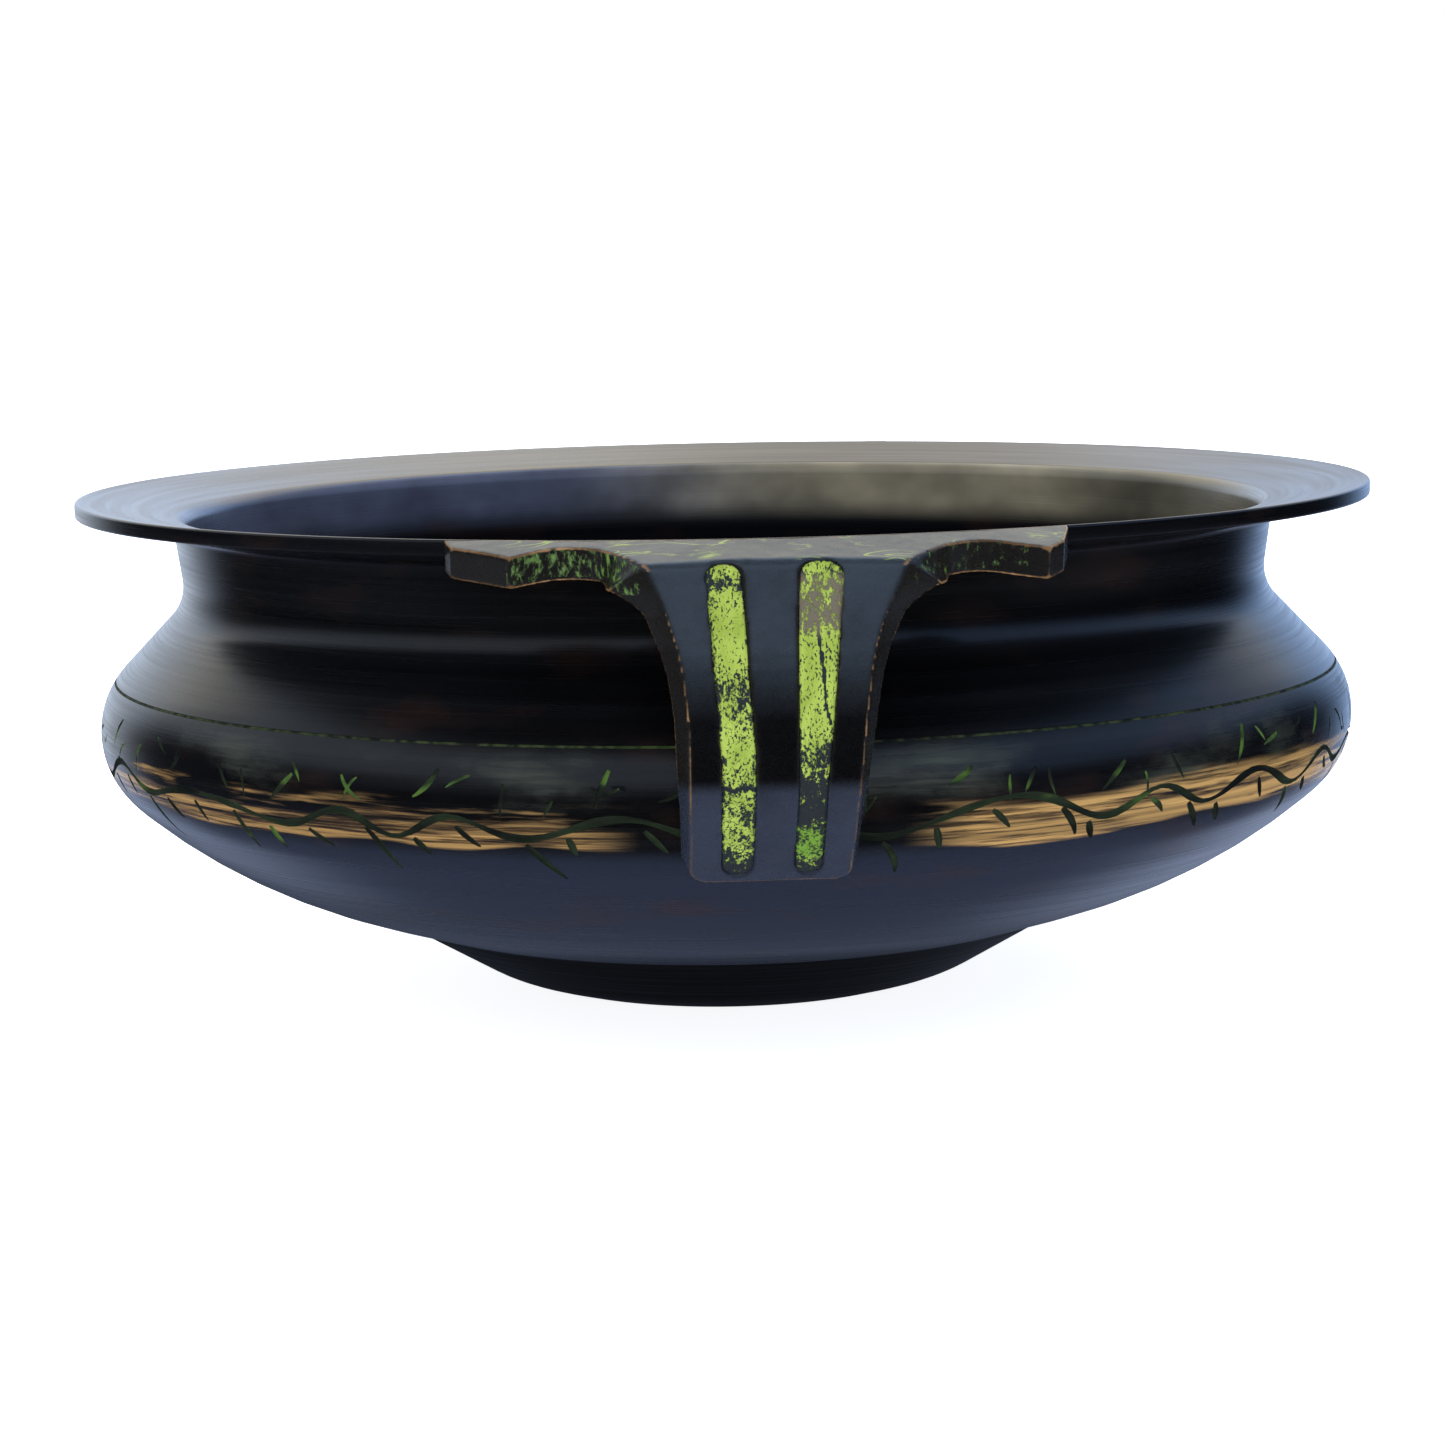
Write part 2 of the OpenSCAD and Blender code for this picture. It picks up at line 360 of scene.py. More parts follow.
def patinated_brass(finish):
    """Cast brass turned smooth and chemically blackened: a thin blue-black oxide that is glossy
    in streaks, with brass showing where the belly is rubbed. The navy under the belly is a
    painted reflection."""
    material, tree, shader, place = started("patinated_brass")
    split = tree.nodes.new("ShaderNodeSeparateXYZ")
    join(tree, split, {0: place})
    across, height = split.outputs["X"], split.outputs["Z"]
    inside = add(tree, "Attribute", out="Fac", attribute_name="inside")
    outside = add(tree, "Math", {0: 1.0, 1: inside}, operation="SUBTRACT")
    flange = add(tree, "Attribute", out="Fac", attribute_name="flange")

    # lathe streaks run round the bowl: decimetres long, 0.6 mm to 3 mm up
    fine_at = add(tree, "Mapping", {0: place, "Scale": per_mm(90, 90, 0.6)})
    fine = add(tree, "TexNoise", {"Vector": fine_at, "Scale": 1, "Detail": 3})
    broad_at = add(tree, "Mapping", {0: place, "Scale": per_mm(240, 240, 3)})
    broad = add(tree, "TexNoise", {"Vector": broad_at, "Scale": 1, "Detail": 4})
    cloud_at = add(tree, "Mapping", {0: place, "Scale": per_mm(55, 55, 30)})
    cloud = add(tree, "TexNoise", {"Vector": cloud_at, "Scale": 1, "Detail": 5})

    # black above, and navy under the belly: a painted reflection of the navy below
    greyer = add(tree, "MapRange", {0: broad, 1: 0.35, 2: 0.7}, interpolation_type="SMOOTHSTEP")
    dark = add(tree, "Mix", {0: greyer, 6: finish.patina, 7: finish.patina_grey}, out=2,
               data_type="RGBA")
    under = add(tree, "MapRange", {0: height, 1: 0.072, 2: 0.066},
                interpolation_type="SMOOTHSTEP")
    colour = add(tree, "Mix", {0: under, 6: dark, 7: finish.underside_navy_reflection}, out=2,
                 data_type="RGBA")

    # dull olive dust clings to the shoulder in scuffed clouds, and stands in as painted sheen for
    # the shoulder's grey highlights; old stains are brown
    dust_and_sheen = add(tree, "MapRange", {0: cloud, 1: 0.52, 2: 0.72}, interpolation_type="SMOOTHSTEP")
    shoulder = add(tree, "MapRange", {0: height, 1: 0.079, 2: 0.083},
                   interpolation_type="SMOOTHSTEP")
    clean = add(tree, "MapRange", {0: height, 1: 0.100, 2: 0.090},
                interpolation_type="SMOOTHSTEP")
    scuff_at = add(tree, "Mapping", {0: place, "Scale": per_mm(18, 18, 1.2),
                                     "Rotation": (0, 0.4, 0)})
    scuff = add(tree, "TexNoise", {"Vector": scuff_at, "Scale": 1, "Detail": 4,
                                   "Distortion": 0.5})
    scuff = add(tree, "MapRange", {0: scuff, 1: 0.42, 2: 0.62, 3: 0.4, 4: 0.85})
    for share in (shoulder, clean, scuff, outside):
        dust_and_sheen = add(tree, "Math", {0: dust_and_sheen, 1: share}, operation="MULTIPLY")
    colour = add(tree, "Mix", {0: dust_and_sheen, 6: colour, 7: finish.dust_and_sheen_grey}, out=2, data_type="RGBA")
    stain_at = add(tree, "Mapping", {0: place, "Scale": per_mm(40, 40, 14)})
    stain = add(tree, "TexNoise", {"Vector": stain_at, "Scale": 1, "Detail": 3})
    stain = add(tree, "MapRange", {0: stain, 1: 0.55, 2: 0.75, 4: 0.4})
    colour = add(tree, "Mix", {0: stain, 6: colour, 7: finish.warm_stain}, out=2,
                 data_type="RGBA")

    # the neck inside is matt oxide in blotches, and painted light and reflection: paler only on
    # its upper wall, bluish towards -X and grey-brown towards +X; the flange is rubbed to a warm
    # grey
    hue = add(tree, "MapRange", {0: across, 1: -0.06, 2: 0.05}, interpolation_type="SMOOTHSTEP")
    inside_oxide_and_reflection = add(tree, "Mix", {0: hue, 6: finish.inside_oxide_cool_reflection, 7: finish.inside_oxide_warm_reflection}, out=2,
               data_type="RGBA")
    blotch_at = add(tree, "Mapping", {0: place, "Scale": per_mm(38, 60, 26)})
    inside_oxide_and_light = add(tree, "TexNoise", {"Vector": blotch_at, "Scale": 1, "Detail": 3})
    inside_oxide_and_light = add(tree, "MapRange", {0: inside_oxide_and_light, 1: 0.3, 2: 0.65, 3: 0.35})
    neck = add(tree, "MapRange", {0: height, 1: 0.127, 2: 0.137}, interpolation_type="SMOOTHSTEP")
    shade = add(tree, "MapRange", {0: across, 1: 0.155, 2: 0.105, 3: 0.4},
                interpolation_type="SMOOTHSTEP")
    for share in (inside, neck, shade):
        inside_oxide_and_light = add(tree, "Math", {0: inside_oxide_and_light, 1: share}, operation="MULTIPLY")
    colour = add(tree, "Mix", {0: inside_oxide_and_light, 6: colour, 7: inside_oxide_and_reflection}, out=2, data_type="RGBA")
    warm = add(tree, "MapRange", {0: broad, 1: 0.3, 2: 0.7, 3: 0.7})
    warm = add(tree, "Math", {0: warm, 1: flange}, operation="MULTIPLY")
    colour = add(tree, "Mix", {0: warm, 6: colour, 7: finish.flange_warm}, out=2,
                 data_type="RGBA")

    # the band is thinner in places, and brighter towards +X
    rubbed, streak = rubbed_band(tree, place, across, height)
    thin = add(tree, "MapRange", {0: broad, 1: 0.36, 2: 0.56, 3: 0.45},
               interpolation_type="SMOOTHSTEP")
    for share in (thin, outside):
        rubbed = add(tree, "Math", {0: rubbed, 1: share}, operation="MULTIPLY")
    tone = add(tree, "MapRange", {0: streak, 1: 0.5, 2: 1, 4: 0.6})
    tone = add(tree, "Math", {0: fine, 1: 0.6, 2: tone}, operation="MULTIPLY_ADD")
    tone = add(tree, "Math", {0: across, 1: 2.0, 2: tone}, operation="MULTIPLY_ADD",
               use_clamp=True)
    brass = add(tree, "Mix", {0: tone, 6: finish.brass_brown, 7: finish.brass}, out=2,
                data_type="RGBA")
    colour = add(tree, "Mix", {0: rubbed, 6: colour, 7: brass}, out=2, data_type="RGBA")

    gloss = add(tree, "MapRange", {0: fine, 1: 0.3, 2: 0.7, 3: 0.20, 4: 0.29})
    gloss = add(tree, "Math", {0: dust_and_sheen, 1: 0.25, 2: gloss}, operation="MULTIPLY_ADD")
    dull = add(tree, "Math", {0: flange, 1: shade}, operation="MULTIPLY")
    dull = add(tree, "Math", {0: dull, 1: hue}, operation="MULTIPLY")
    gloss = add(tree, "Math", {0: dull, 1: 0.14, 2: gloss}, operation="MULTIPLY_ADD")
    metal = add(tree, "Math", {0: rubbed, 1: 0.25}, operation="MULTIPLY")
    bump = add(tree, "Bump", {"Height": fine, "Distance": 0.018 * MM})
    join(tree, shader, {"Base Color": colour, "Roughness": gloss, "Metallic": metal,
                        "Normal": bump, "Specular IOR Level": 0.42})
    return material


def filed_brass(finish):
    """The same blackened brass, cast in sand and filed by hand: greyer, with fine pits, and
    rubbed through to orange brass along its edges. Its grey on upward faces is painted sheen, and
    its navy at the strap's foot a painted reflection."""
    material, tree, shader, place = started("filed_brass")
    edge = add(tree, "Attribute", out="Fac", attribute_name="edge")
    residue = add(tree, "Attribute", out="Fac", attribute_name="residue")
    top = add(tree, "Attribute", out="Fac", attribute_name="top")
    fine_at = add(tree, "Mapping", {0: place, "Scale": per_mm(2.4, 2.4, 2)})
    fine = add(tree, "TexNoise", {"Vector": fine_at, "Scale": 1, "Detail": 4})
    cloud_at = add(tree, "Mapping", {0: place, "Scale": per_mm(16, 16, 24)})
    cloud = add(tree, "TexNoise", {"Vector": cloud_at, "Scale": 1, "Detail": 5})

    # painted sheen in grey on top, black below that, a painted navy reflection at the strap's
    # foot, and dull brown flanks
    painted_sheen = add(tree, "Attribute", out="Fac", attribute_name="painted_sheen")
    flank = add(tree, "Attribute", out="Fac", attribute_name="flank")
    colour = add(tree, "Mix", {0: flank, 6: finish.patina, 7: finish.flank_brown}, out=2,
                 data_type="RGBA")
    split = tree.nodes.new("ShaderNodeSeparateXYZ")
    join(tree, split, {0: place})
    # painted reflection: navy on the strap's lower end, which faces down
    low = add(tree, "MapRange", {0: split.outputs["Z"], 1: 0.0935, 2: 0.0885, 4: 0.9},
              interpolation_type="SMOOTHSTEP")
    colour = add(tree, "Mix", {0: low, 6: colour, 7: finish.strap_navy_reflection}, out=2,
                 data_type="RGBA")
    mottle = add(tree, "MapRange", {0: cloud, 1: 0.42, 2: 0.7, 4: 0.35})
    colour = add(tree, "Mix", {0: mottle, 6: colour, 7: finish.patina_grey}, out=2,
                 data_type="RGBA")
    # painted sheen: grey on the upward faces and the strap's upper face, in clouds
    grey = add(tree, "MapRange", {0: cloud, 1: 0.3, 2: 0.7, 3: 0.7})
    grey = add(tree, "Math", {0: grey, 1: painted_sheen}, operation="MULTIPLY")
    colour = add(tree, "Mix", {0: grey, 6: colour, 7: finish.handle_grey_sheen}, out=2,
                 data_type="RGBA")

    rub = add(tree, "Math", {0: fine, 1: 0.5, 2: edge}, operation="MULTIPLY_ADD")
    bright = add(tree, "MapRange", {0: rub, 1: 0.56, 2: 1.1, 4: 0.85},
                 interpolation_type="SMOOTHSTEP")
    tone = add(tree, "MapRange", {0: cloud, 1: 0.4, 2: 0.62})
    worn = add(tree, "Mix", {0: tone, 6: finish.brass_brown, 7: finish.edge_brass}, out=2,
               data_type="RGBA")
    colour = add(tree, "Mix", {0: bright, 6: colour, 7: worn}, out=2, data_type="RGBA")

    # pigment wiped over the handle stays in its corners and in scratches on its top
    crumb_at = add(tree, "Mapping", {0: place, "Scale": per_mm(1.5, 1.5, 4)})
    crumb = add(tree, "TexNoise", {"Vector": crumb_at, "Scale": 1, "Detail": 5,
                                   "Roughness": 0.7})
    stuck = add(tree, "Math", {0: crumb, 1: 1.1, 2: residue}, operation="MULTIPLY_ADD")
    stuck = add(tree, "MapRange", {0: stuck, 1: 1.15, 2: 1.35}, interpolation_type="SMOOTHSTEP")
    colour = add(tree, "Mix", {0: stuck, 6: colour, 7: finish.residue_green}, out=2,
                 data_type="RGBA")
    kept = add(tree, "MapRange", {0: cloud, 1: 0.46, 2: 0.53, 4: 0.75})
    kept = add(tree, "Math", {0: kept, 1: top}, operation="MULTIPLY")
    for length, gap, turn in ((30, 5, 0.25), (22, 6, -0.35)):
        scratch_at = add(tree, "Mapping", {0: place, "Scale": per_mm(length, gap, 60),
                                           "Rotation": (0, 0, turn)})
        scratch = add(tree, "TexNoise", {"Vector": scratch_at, "Scale": 1, "Detail": 1.5,
                                         "Distortion": 0.4})
        scratch = add(tree, "Math", {0: scratch, 1: 0.5}, operation="SUBTRACT")
        scratch = add(tree, "Math", {0: scratch}, operation="ABSOLUTE")
        scratch = add(tree, "MapRange", {0: scratch, 1: 0.014, 2: 0.006})
        scratch = add(tree, "Math", {0: scratch, 1: kept}, operation="MULTIPLY")
        colour = add(tree, "Mix", {0: scratch, 6: colour, 7: finish.green_deep}, out=2,
                     data_type="RGBA")

    gloss = add(tree, "MapRange", {0: fine, 1: 0.3, 2: 0.7, 3: 0.22, 4: 0.32})
    gloss = add(tree, "Math", {0: stuck, 1: 0.4, 2: gloss}, operation="MULTIPLY_ADD")
    metal = add(tree, "Math", {0: bright, 1: 0.5}, operation="MULTIPLY")
    relief = add(tree, "Math", {0: crumb, 1: 0.5, 2: fine}, operation="MULTIPLY_ADD")
    bump = add(tree, "Bump", {"Height": relief, "Distance": 0.014 * MM})
    join(tree, shader, {"Base Color": colour, "Roughness": gloss, "Metallic": metal,
                        "Normal": bump})
    return material


def pigment_paste(finish):
    """Yellow-green pigment paste pressed into the grooves: chalky, pitted, and crumbled
    away in places down to the dark metal."""
    material, tree, shader, place = started("pigment_paste")
    worn = add(tree, "Attribute", out="Fac", attribute_name="worn")
    crumb_at = add(tree, "Mapping", {0: place, "Scale": per_mm(1.1, 1.1, 1.9)})
    crumb = add(tree, "TexNoise", {"Vector": crumb_at, "Scale": 1, "Detail": 5,
                                   "Roughness": 0.78})
    soft_at = add(tree, "Mapping", {0: place, "Scale": per_mm(5, 5, 9)})
    soft = add(tree, "TexNoise", {"Vector": soft_at, "Scale": 1, "Detail": 3})
    flake_at = add(tree, "Mapping", {0: place, "Scale": per_mm(3.6, 3.6, 7)})
    flake = add(tree, "TexNoise", {"Vector": flake_at, "Scale": 1, "Detail": 3})
    level = add(tree, "Math", {0: crumb, 1: 1.5, 2: worn}, operation="MULTIPLY_ADD")
    level = add(tree, "Math", {0: flake, 1: 0.8, 2: level}, operation="MULTIPLY_ADD")
    speck_at = add(tree, "Mapping", {0: place, "Scale": per_mm(0.55, 0.55, 0.9)})
    speck = add(tree, "TexNoise", {"Vector": speck_at, "Scale": 1, "Detail": 3})
    speck = add(tree, "MapRange", {0: speck, 1: 0.54, 2: 0.67, 4: 0.44})
    level = add(tree, "Math", {0: level, 1: speck})
    gone = add(tree, "MapRange", {0: level, 1: 1.66, 2: 1.74}, interpolation_type="SMOOTHSTEP")
    tone = add(tree, "MapRange", {0: soft, 1: 0.38, 2: 0.64})
    colour = add(tree, "Mix", {0: tone, 6: finish.green, 7: finish.green_deep}, out=2,
                 data_type="RGBA")
    old = add(tree, "Attribute", out="Fac", attribute_name="old")
    colour = add(tree, "Mix", {0: old, 6: colour, 7: finish.old_green}, out=2,
                 data_type="RGBA")
    film = add(tree, "Attribute", out="Fac", attribute_name="film")
    bare = add(tree, "Mix", {0: film, 6: finish.bare_groove, 7: finish.film_grey}, out=2,
               data_type="RGBA")
    colour = add(tree, "Mix", {0: gone, 6: colour, 7: bare}, out=2, data_type="RGBA")
    rough = add(tree, "MapRange", {0: gone, 3: 0.85, 4: 0.5})
    relief = add(tree, "Math", {0: gone, 1: -0.8, 2: crumb}, operation="MULTIPLY_ADD")
    bump = add(tree, "Bump", {"Height": relief, "Distance": 0.3 * MM})
    join(tree, shader, {"Base Color": colour, "Roughness": rough, "Normal": bump,
                        "Specular IOR Level": 0.25})
    return material


def engraved_paste(finish):
    """Dark green paste left in the engraved strokes, bright only in a few of them."""
    material, tree, shader, place = started("engraved_paste")
    patch_at = add(tree, "Mapping", {0: place, "Scale": per_mm(24, 24, 10)})
    patch = add(tree, "TexNoise", {"Vector": patch_at, "Scale": 1, "Detail": 3})
    crumb_at = add(tree, "Mapping", {0: place, "Scale": per_mm(0.9, 0.9, 0.9)})
    crumb = add(tree, "TexNoise", {"Vector": crumb_at, "Scale": 1, "Detail": 3})
    height = tree.nodes.new("ShaderNodeSeparateXYZ")
    join(tree, height, {0: place})
    # less wiped away above the rubbed band
    kept = add(tree, "MapRange", {0: height.outputs["Z"], 1: 0.079, 2: 0.085, 4: 0.13})
    kept = add(tree, "Math", {0: kept, 1: patch})
    fresh = add(tree, "MapRange", {0: kept, 1: 0.62, 2: 0.76, 4: 0.62},
                interpolation_type="SMOOTHSTEP")
    dull = add(tree, "MapRange", {0: patch, 1: 0.35, 2: 0.6})
    colour = add(tree, "Mix", {0: dull, 6: finish.cut_dark, 7: finish.cut_green}, out=2,
                 data_type="RGBA")
    colour = add(tree, "Mix", {0: fresh, 6: colour, 7: finish.residue_green}, out=2,
                 data_type="RGBA")
    bump = add(tree, "Bump", {"Height": crumb, "Distance": 0.2 * MM})
    join(tree, shader, {"Base Color": colour, "Roughness": 0.75, "Normal": bump,
                        "Specular IOR Level": 0.25})
    return material


def line_paste(finish):
    """The hairline of paste round the belly: faded olive with brighter lengths."""
    material, tree, shader, place = started("line_paste")
    patch_at = add(tree, "Mapping", {0: place, "Scale": per_mm(30, 30, 30)})
    patch = add(tree, "TexNoise", {"Vector": patch_at, "Scale": 1, "Detail": 3})
    crumb_at = add(tree, "Mapping", {0: place, "Scale": per_mm(2.5, 2.5, 2.5)})
    crumb = add(tree, "TexNoise", {"Vector": crumb_at, "Scale": 1, "Detail": 3})
    gone = add(tree, "MapRange", {0: crumb, 1: 0.4, 2: 0.6})
    colour = add(tree, "Mix", {0: gone, 6: finish.line_olive, 7: finish.cut_dark}, out=2,
                 data_type="RGBA")
    fresh = add(tree, "MapRange", {0: patch, 1: 0.54, 2: 0.72, 4: 0.18})
    colour = add(tree, "Mix", {0: fresh, 6: colour, 7: finish.residue_green}, out=2,
                 data_type="RGBA")
    join(tree, shader, {"Base Color": colour, "Roughness": 0.75, "Specular IOR Level": 0.3})
    return material


def blackened_foot(finish):
    """The foot's turned brass, blackened all over and never rubbed."""
    material, tree, shader, place = started("blackened_foot")
    fine_at = add(tree, "Mapping", {0: place, "Scale": per_mm(60, 60, 0.7)})
    fine = add(tree, "TexNoise", {"Vector": fine_at, "Scale": 1, "Detail": 3})
    cloud_at = add(tree, "Mapping", {0: place, "Scale": per_mm(30, 30, 12)})
    cloud = add(tree, "TexNoise", {"Vector": cloud_at, "Scale": 1, "Detail": 4})
    tone = add(tree, "MapRange", {0: cloud, 1: 0.35, 2: 0.7})
    colour = add(tree, "Mix", {0: tone, 6: finish.foot_black, 7: finish.patina}, out=2,
                 data_type="RGBA")
    rough = add(tree, "MapRange", {0: fine, 1: 0.3, 2: 0.7, 3: 0.42, 4: 0.6})
    bump = add(tree, "Bump", {"Height": fine, "Distance": 0.1 * MM})
    join(tree, shader, {"Base Color": colour, "Roughness": rough, "Normal": bump,
                        "Specular IOR Level": 0.03})
    return material


def braze_bead(finish):
    """Brazing metal left as it flowed: a dull brown bead with flux pits."""
    material, tree, shader, place = started("braze_bead")
    lump_at = add(tree, "Mapping", {0: place, "Scale": per_mm(3, 3, 3)})
    lumps = add(tree, "TexNoise", {"Vector": lump_at, "Scale": 1, "Detail": 4})
    tone = add(tree, "MapRange", {0: lumps, 1: 0.4, 2: 0.75})
    colour = add(tree, "Mix", {0: tone, 6: finish.patina, 7: finish.warm_stain}, out=2,
                 data_type="RGBA")
    bump = add(tree, "Bump", {"Height": lumps, "Distance": 0.5 * MM})
    join(tree, shader, {"Base Color": colour, "Roughness": 0.55, "Metallic": 0.2,
                        "Normal": bump})
    return material


# --------------------------------------------------------------------------
# The bowl


def bowl_section(wall):
    """Half section of the bowl's wall from the middle of the inside, over the rim, to the
    middle of the outside, with a square notch for the paste line."""
    outer = outside_corners()
    inner = moved_right([(RIM_R, RIM_Z - RIM_EDGE, 0)] + outer[1:], wall)
    lip_r = inner[1][0]
    inside = [(RIM_R, RIM_Z, 0.8), (lip_r, RIM_Z - (RIM_R - lip_r) * LIP_SLOPE, LIP_ROUND)]
    inside += inner[2:]
    return with_notch(spaced(rounded(list(reversed(inside)) + outer), 4.0))


def notch_corners(top, bottom):
    """Corners of the notch across the wall, from its upper lip to its lower one.
    top and bottom are heights above the metal."""
    r, nr, nz = outside_point(LINE_Z)
    half = LINE_W / 2
    return [(r + nz * along + nr * out, LINE_Z - nr * along + nz * out)
            for along, out in ((-half, top), (-half, bottom), (half, bottom), (half, top))]


def with_notch(points):
    """The section with the notch's corners in place of its points between them."""
    corners = notch_corners(0.0, -LINE_W)
    high, low = corners[0][1], corners[-1][1]
    rim = max(range(len(points)), key=lambda i: points[i][0] if points[i][1] > 150 else 0)
    after = next(i for i in range(rim, len(points)) if points[i][1] < low)
    before = max(i for i in range(rim, after) if points[i][1] > high)
    return points[:before + 1] + corners + points[after:]


def belly_point(azimuth, z, lift=0.0):
    """A point on the bowl's outside, azimuth counted from the front handle towards +X."""
    r, nr, nz = outside_point(z)
    a = math.radians(azimuth)
    across = (r + nr * lift) * MM
    return Vector((across * math.sin(a), -across * math.cos(a), (z + nz * lift) * MM))


def gouges(name, strokes):
    """One mesh of tapering round gouges. A stroke is (points, radii in mm, closed)."""
    curve = bpy.data.curves.new(name, "CURVE")
    curve.dimensions = "3D"
    curve.bevel_depth = MM
    curve.bevel_resolution = 2
    curve.use_fill_caps = True
    for points, radii, closed in strokes:
        spline = curve.splines.new("POLY")
        spline.points.add(len(points) - 1)
        for point, co, radius in zip(spline.points, points, radii):
            point.co = (*co, 1.0)
            point.radius = radius
        spline.use_cyclic_u = closed
    piece = bpy.data.objects.new(name, curve)
    bpy.context.scene.collection.objects.link(piece)
    choose(piece)
    bpy.ops.object.convert(target="MESH")
    piece = bpy.context.object
    bpy.ops.object.mode_set(mode="EDIT")
    bpy.ops.mesh.select_all(action="SELECT")
    bpy.ops.mesh.remove_doubles(threshold=0.001 * MM)
    bpy.ops.mesh.normals_make_consistent(inside=False)
    bpy.ops.object.mode_set(mode="OBJECT")
    return piece


STEM_WAVES = 25


def stem_z(azimuth):
    """The stem's height: waves that grow and shrink, and come early and late."""
    a = math.radians(azimuth)
    reach = 3.3 + 0.9 * math.sin(3 * a + 0.7) + 0.7 * math.sin(8 * a)
    phase = STEM_WAVES * a + 1.1 * math.sin(5 * a + 2) + 0.6 * math.sin(11 * a)
    return 76.8 + reach * math.sin(phase) + 0.9 * math.sin(4 * a + 1)


def stem(width):
    """The wandering stem all round the belly, cut thick and thin in turn."""
    count = STEM_WAVES * 16
    points, radii = [], []
    for i in range(count):
        azimuth = 360 * i / count
        a = math.radians(azimuth)
        points.append(belly_point(azimuth, stem_z(azimuth), 0.2))
        swell = math.sin(2 * STEM_WAVES * a + 0.6) + 0.5 * math.sin(17 * a)
        radii.append(width * (1.1 + 0.28 * swell))
    return points, radii, True


def leaf(azimuth, z, length, lean, bend, width):
    """A stroke cut with a round gouge, which starts blunt and runs out thin.
    lean is its angle from straight down towards +X, in degrees."""
    points, radii = [], []
    for i in range(9):
        t = i / 8
        turn = math.radians(lean + bend * (t - 0.5))
        down = length * t * math.cos(turn)
        along = length * t * math.sin(turn)
        r = outside_point(z - down)[0]
        points.append(belly_point(azimuth + math.degrees(along / r), z - down, 0.2))
        radii.append(width * (0.4 + 0.75 * math.sin(math.pi * min(1.0, t * 0.85 + 0.14))))
    return points, radii, False


def leaves(width):
    """Leaves, ticks and tendrils along the stem, a group at each wave."""
    rng = random.Random(7)
    step = 360 / STEM_WAVES
    strokes = []
    for wave in range(STEM_WAVES):
        below = step * (wave + rng.uniform(0.58, 0.68))
        strokes.append(leaf(below, stem_z(below) - 1.6, rng.uniform(10, 14),
                            rng.uniform(25, 48), rng.uniform(-25, 10), width * 1.05))
        tick = step * (wave + rng.uniform(0.86, 0.96))
        strokes.append(leaf(tick, stem_z(tick) - 2.0, rng.uniform(5.5, 8.5),
                            rng.uniform(15, 50), rng.uniform(-10, 10), width * 1.1))
        low = step * (wave + rng.uniform(0.22, 0.34))
        strokes.append(leaf(low, stem_z(low) - 2.6, rng.uniform(6, 9),
                            rng.uniform(30, 60), rng.uniform(-20, 20), width * 0.9))
        above = step * (wave + rng.uniform(0.08, 0.16))
        length = rng.uniform(8, 12)
        strokes.append(leaf(above, stem_z(above) + 2.4 + length, length,
                            rng.uniform(-55, -12), rng.uniform(-20, 20), width * 0.8))
        high = step * (wave + rng.uniform(0.46, 0.54))
        length = rng.uniform(6, 10)
        strokes.append(leaf(high, max(84, stem_z(high) + 4) + length * 0.5, length,
                            rng.uniform(-75, 60), rng.uniform(-40, 40), width * 0.62))
    return strokes


def scratches(width):
    """Finer strokes over the vine, two at each wave."""
    rng = random.Random(3)
    step = 360 / STEM_WAVES
    return [leaf(step * (wave + start + rng.uniform(0, 0.3)), rng.uniform(84, 92),
                 rng.uniform(4, 9), rng.uniform(-70, 70), rng.uniform(-40, 40), width * 0.5)
            for wave in range(STEM_WAVES) for start in (0.05, 0.55)]


def make_bowl(settings):
    size = settings.size
    width = size.cut / MM / 2
    bowl = turned("cast_bowl", bowl_section(size.wall / MM), size.steps)
    bowl.data.materials.append(None)
    bowl.data.materials.append(None)
    for strokes in ([stem(width)], leaves(width), scratches(width)):
        tool = gouges("gouge", strokes)
        tool.data.materials.append(None)
        tool.data.materials.append(None)
        tool.data.polygons.foreach_set("material_index", [1] * len(tool.data.polygons))
        cut(bowl, tool)
    cuts = [face.material_index for face in bowl.data.polygons]
    finished(bowl, "patinated_brass", "bowl_shell",
             patinated_brass(settings.finish), engraved_paste(settings.finish))
    bowl.data.polygons.foreach_set("material_index", cuts)
    co = points_of(bowl)
    normals = normals_of(bowl)
    radius = np.maximum(np.hypot(co[:, 0], co[:, 1]), 1e-6)
    outward = (normals[:, :2] * co[:, :2]).sum(1) / radius
    attribute(bowl, "inside", outward < -0.35)
    attribute(bowl, "flange", (normals[:, 2] > 0.9) * (co[:, 2] > 0.14))
    smooth(bowl, 38)


def make_belly_line(settings):
    """The paste in the notch, pressed in a little below the metal."""
    section = notch_corners(-0.2, -LINE_W)
    ring = turned("belly_line", section + section[:1], settings.size.steps)
    smooth(ring, 50)
    finished(ring, "green_fill", "belly_line_inlay", line_paste(settings.finish))


# --------------------------------------------------------------------------
# The foot

FOOT_BORE_R = 50.0
FOOT_TOP = (106.9, 22.1, 0)
FOOT_WAIST = (75.5, 3.6, 41)


def underside_z(r):
    points = rounded([UNDERSIDE, BOTTOM, (0.0, BOTTOM_Z, 0.0)])
    for (ar, az), (br, bz) in zip(points, points[1:]):
        if br <= r <= ar:
            return az + (bz - az) * (ar - r) / (ar - br)
    raise ValueError(f"the underside has no radius {r}")


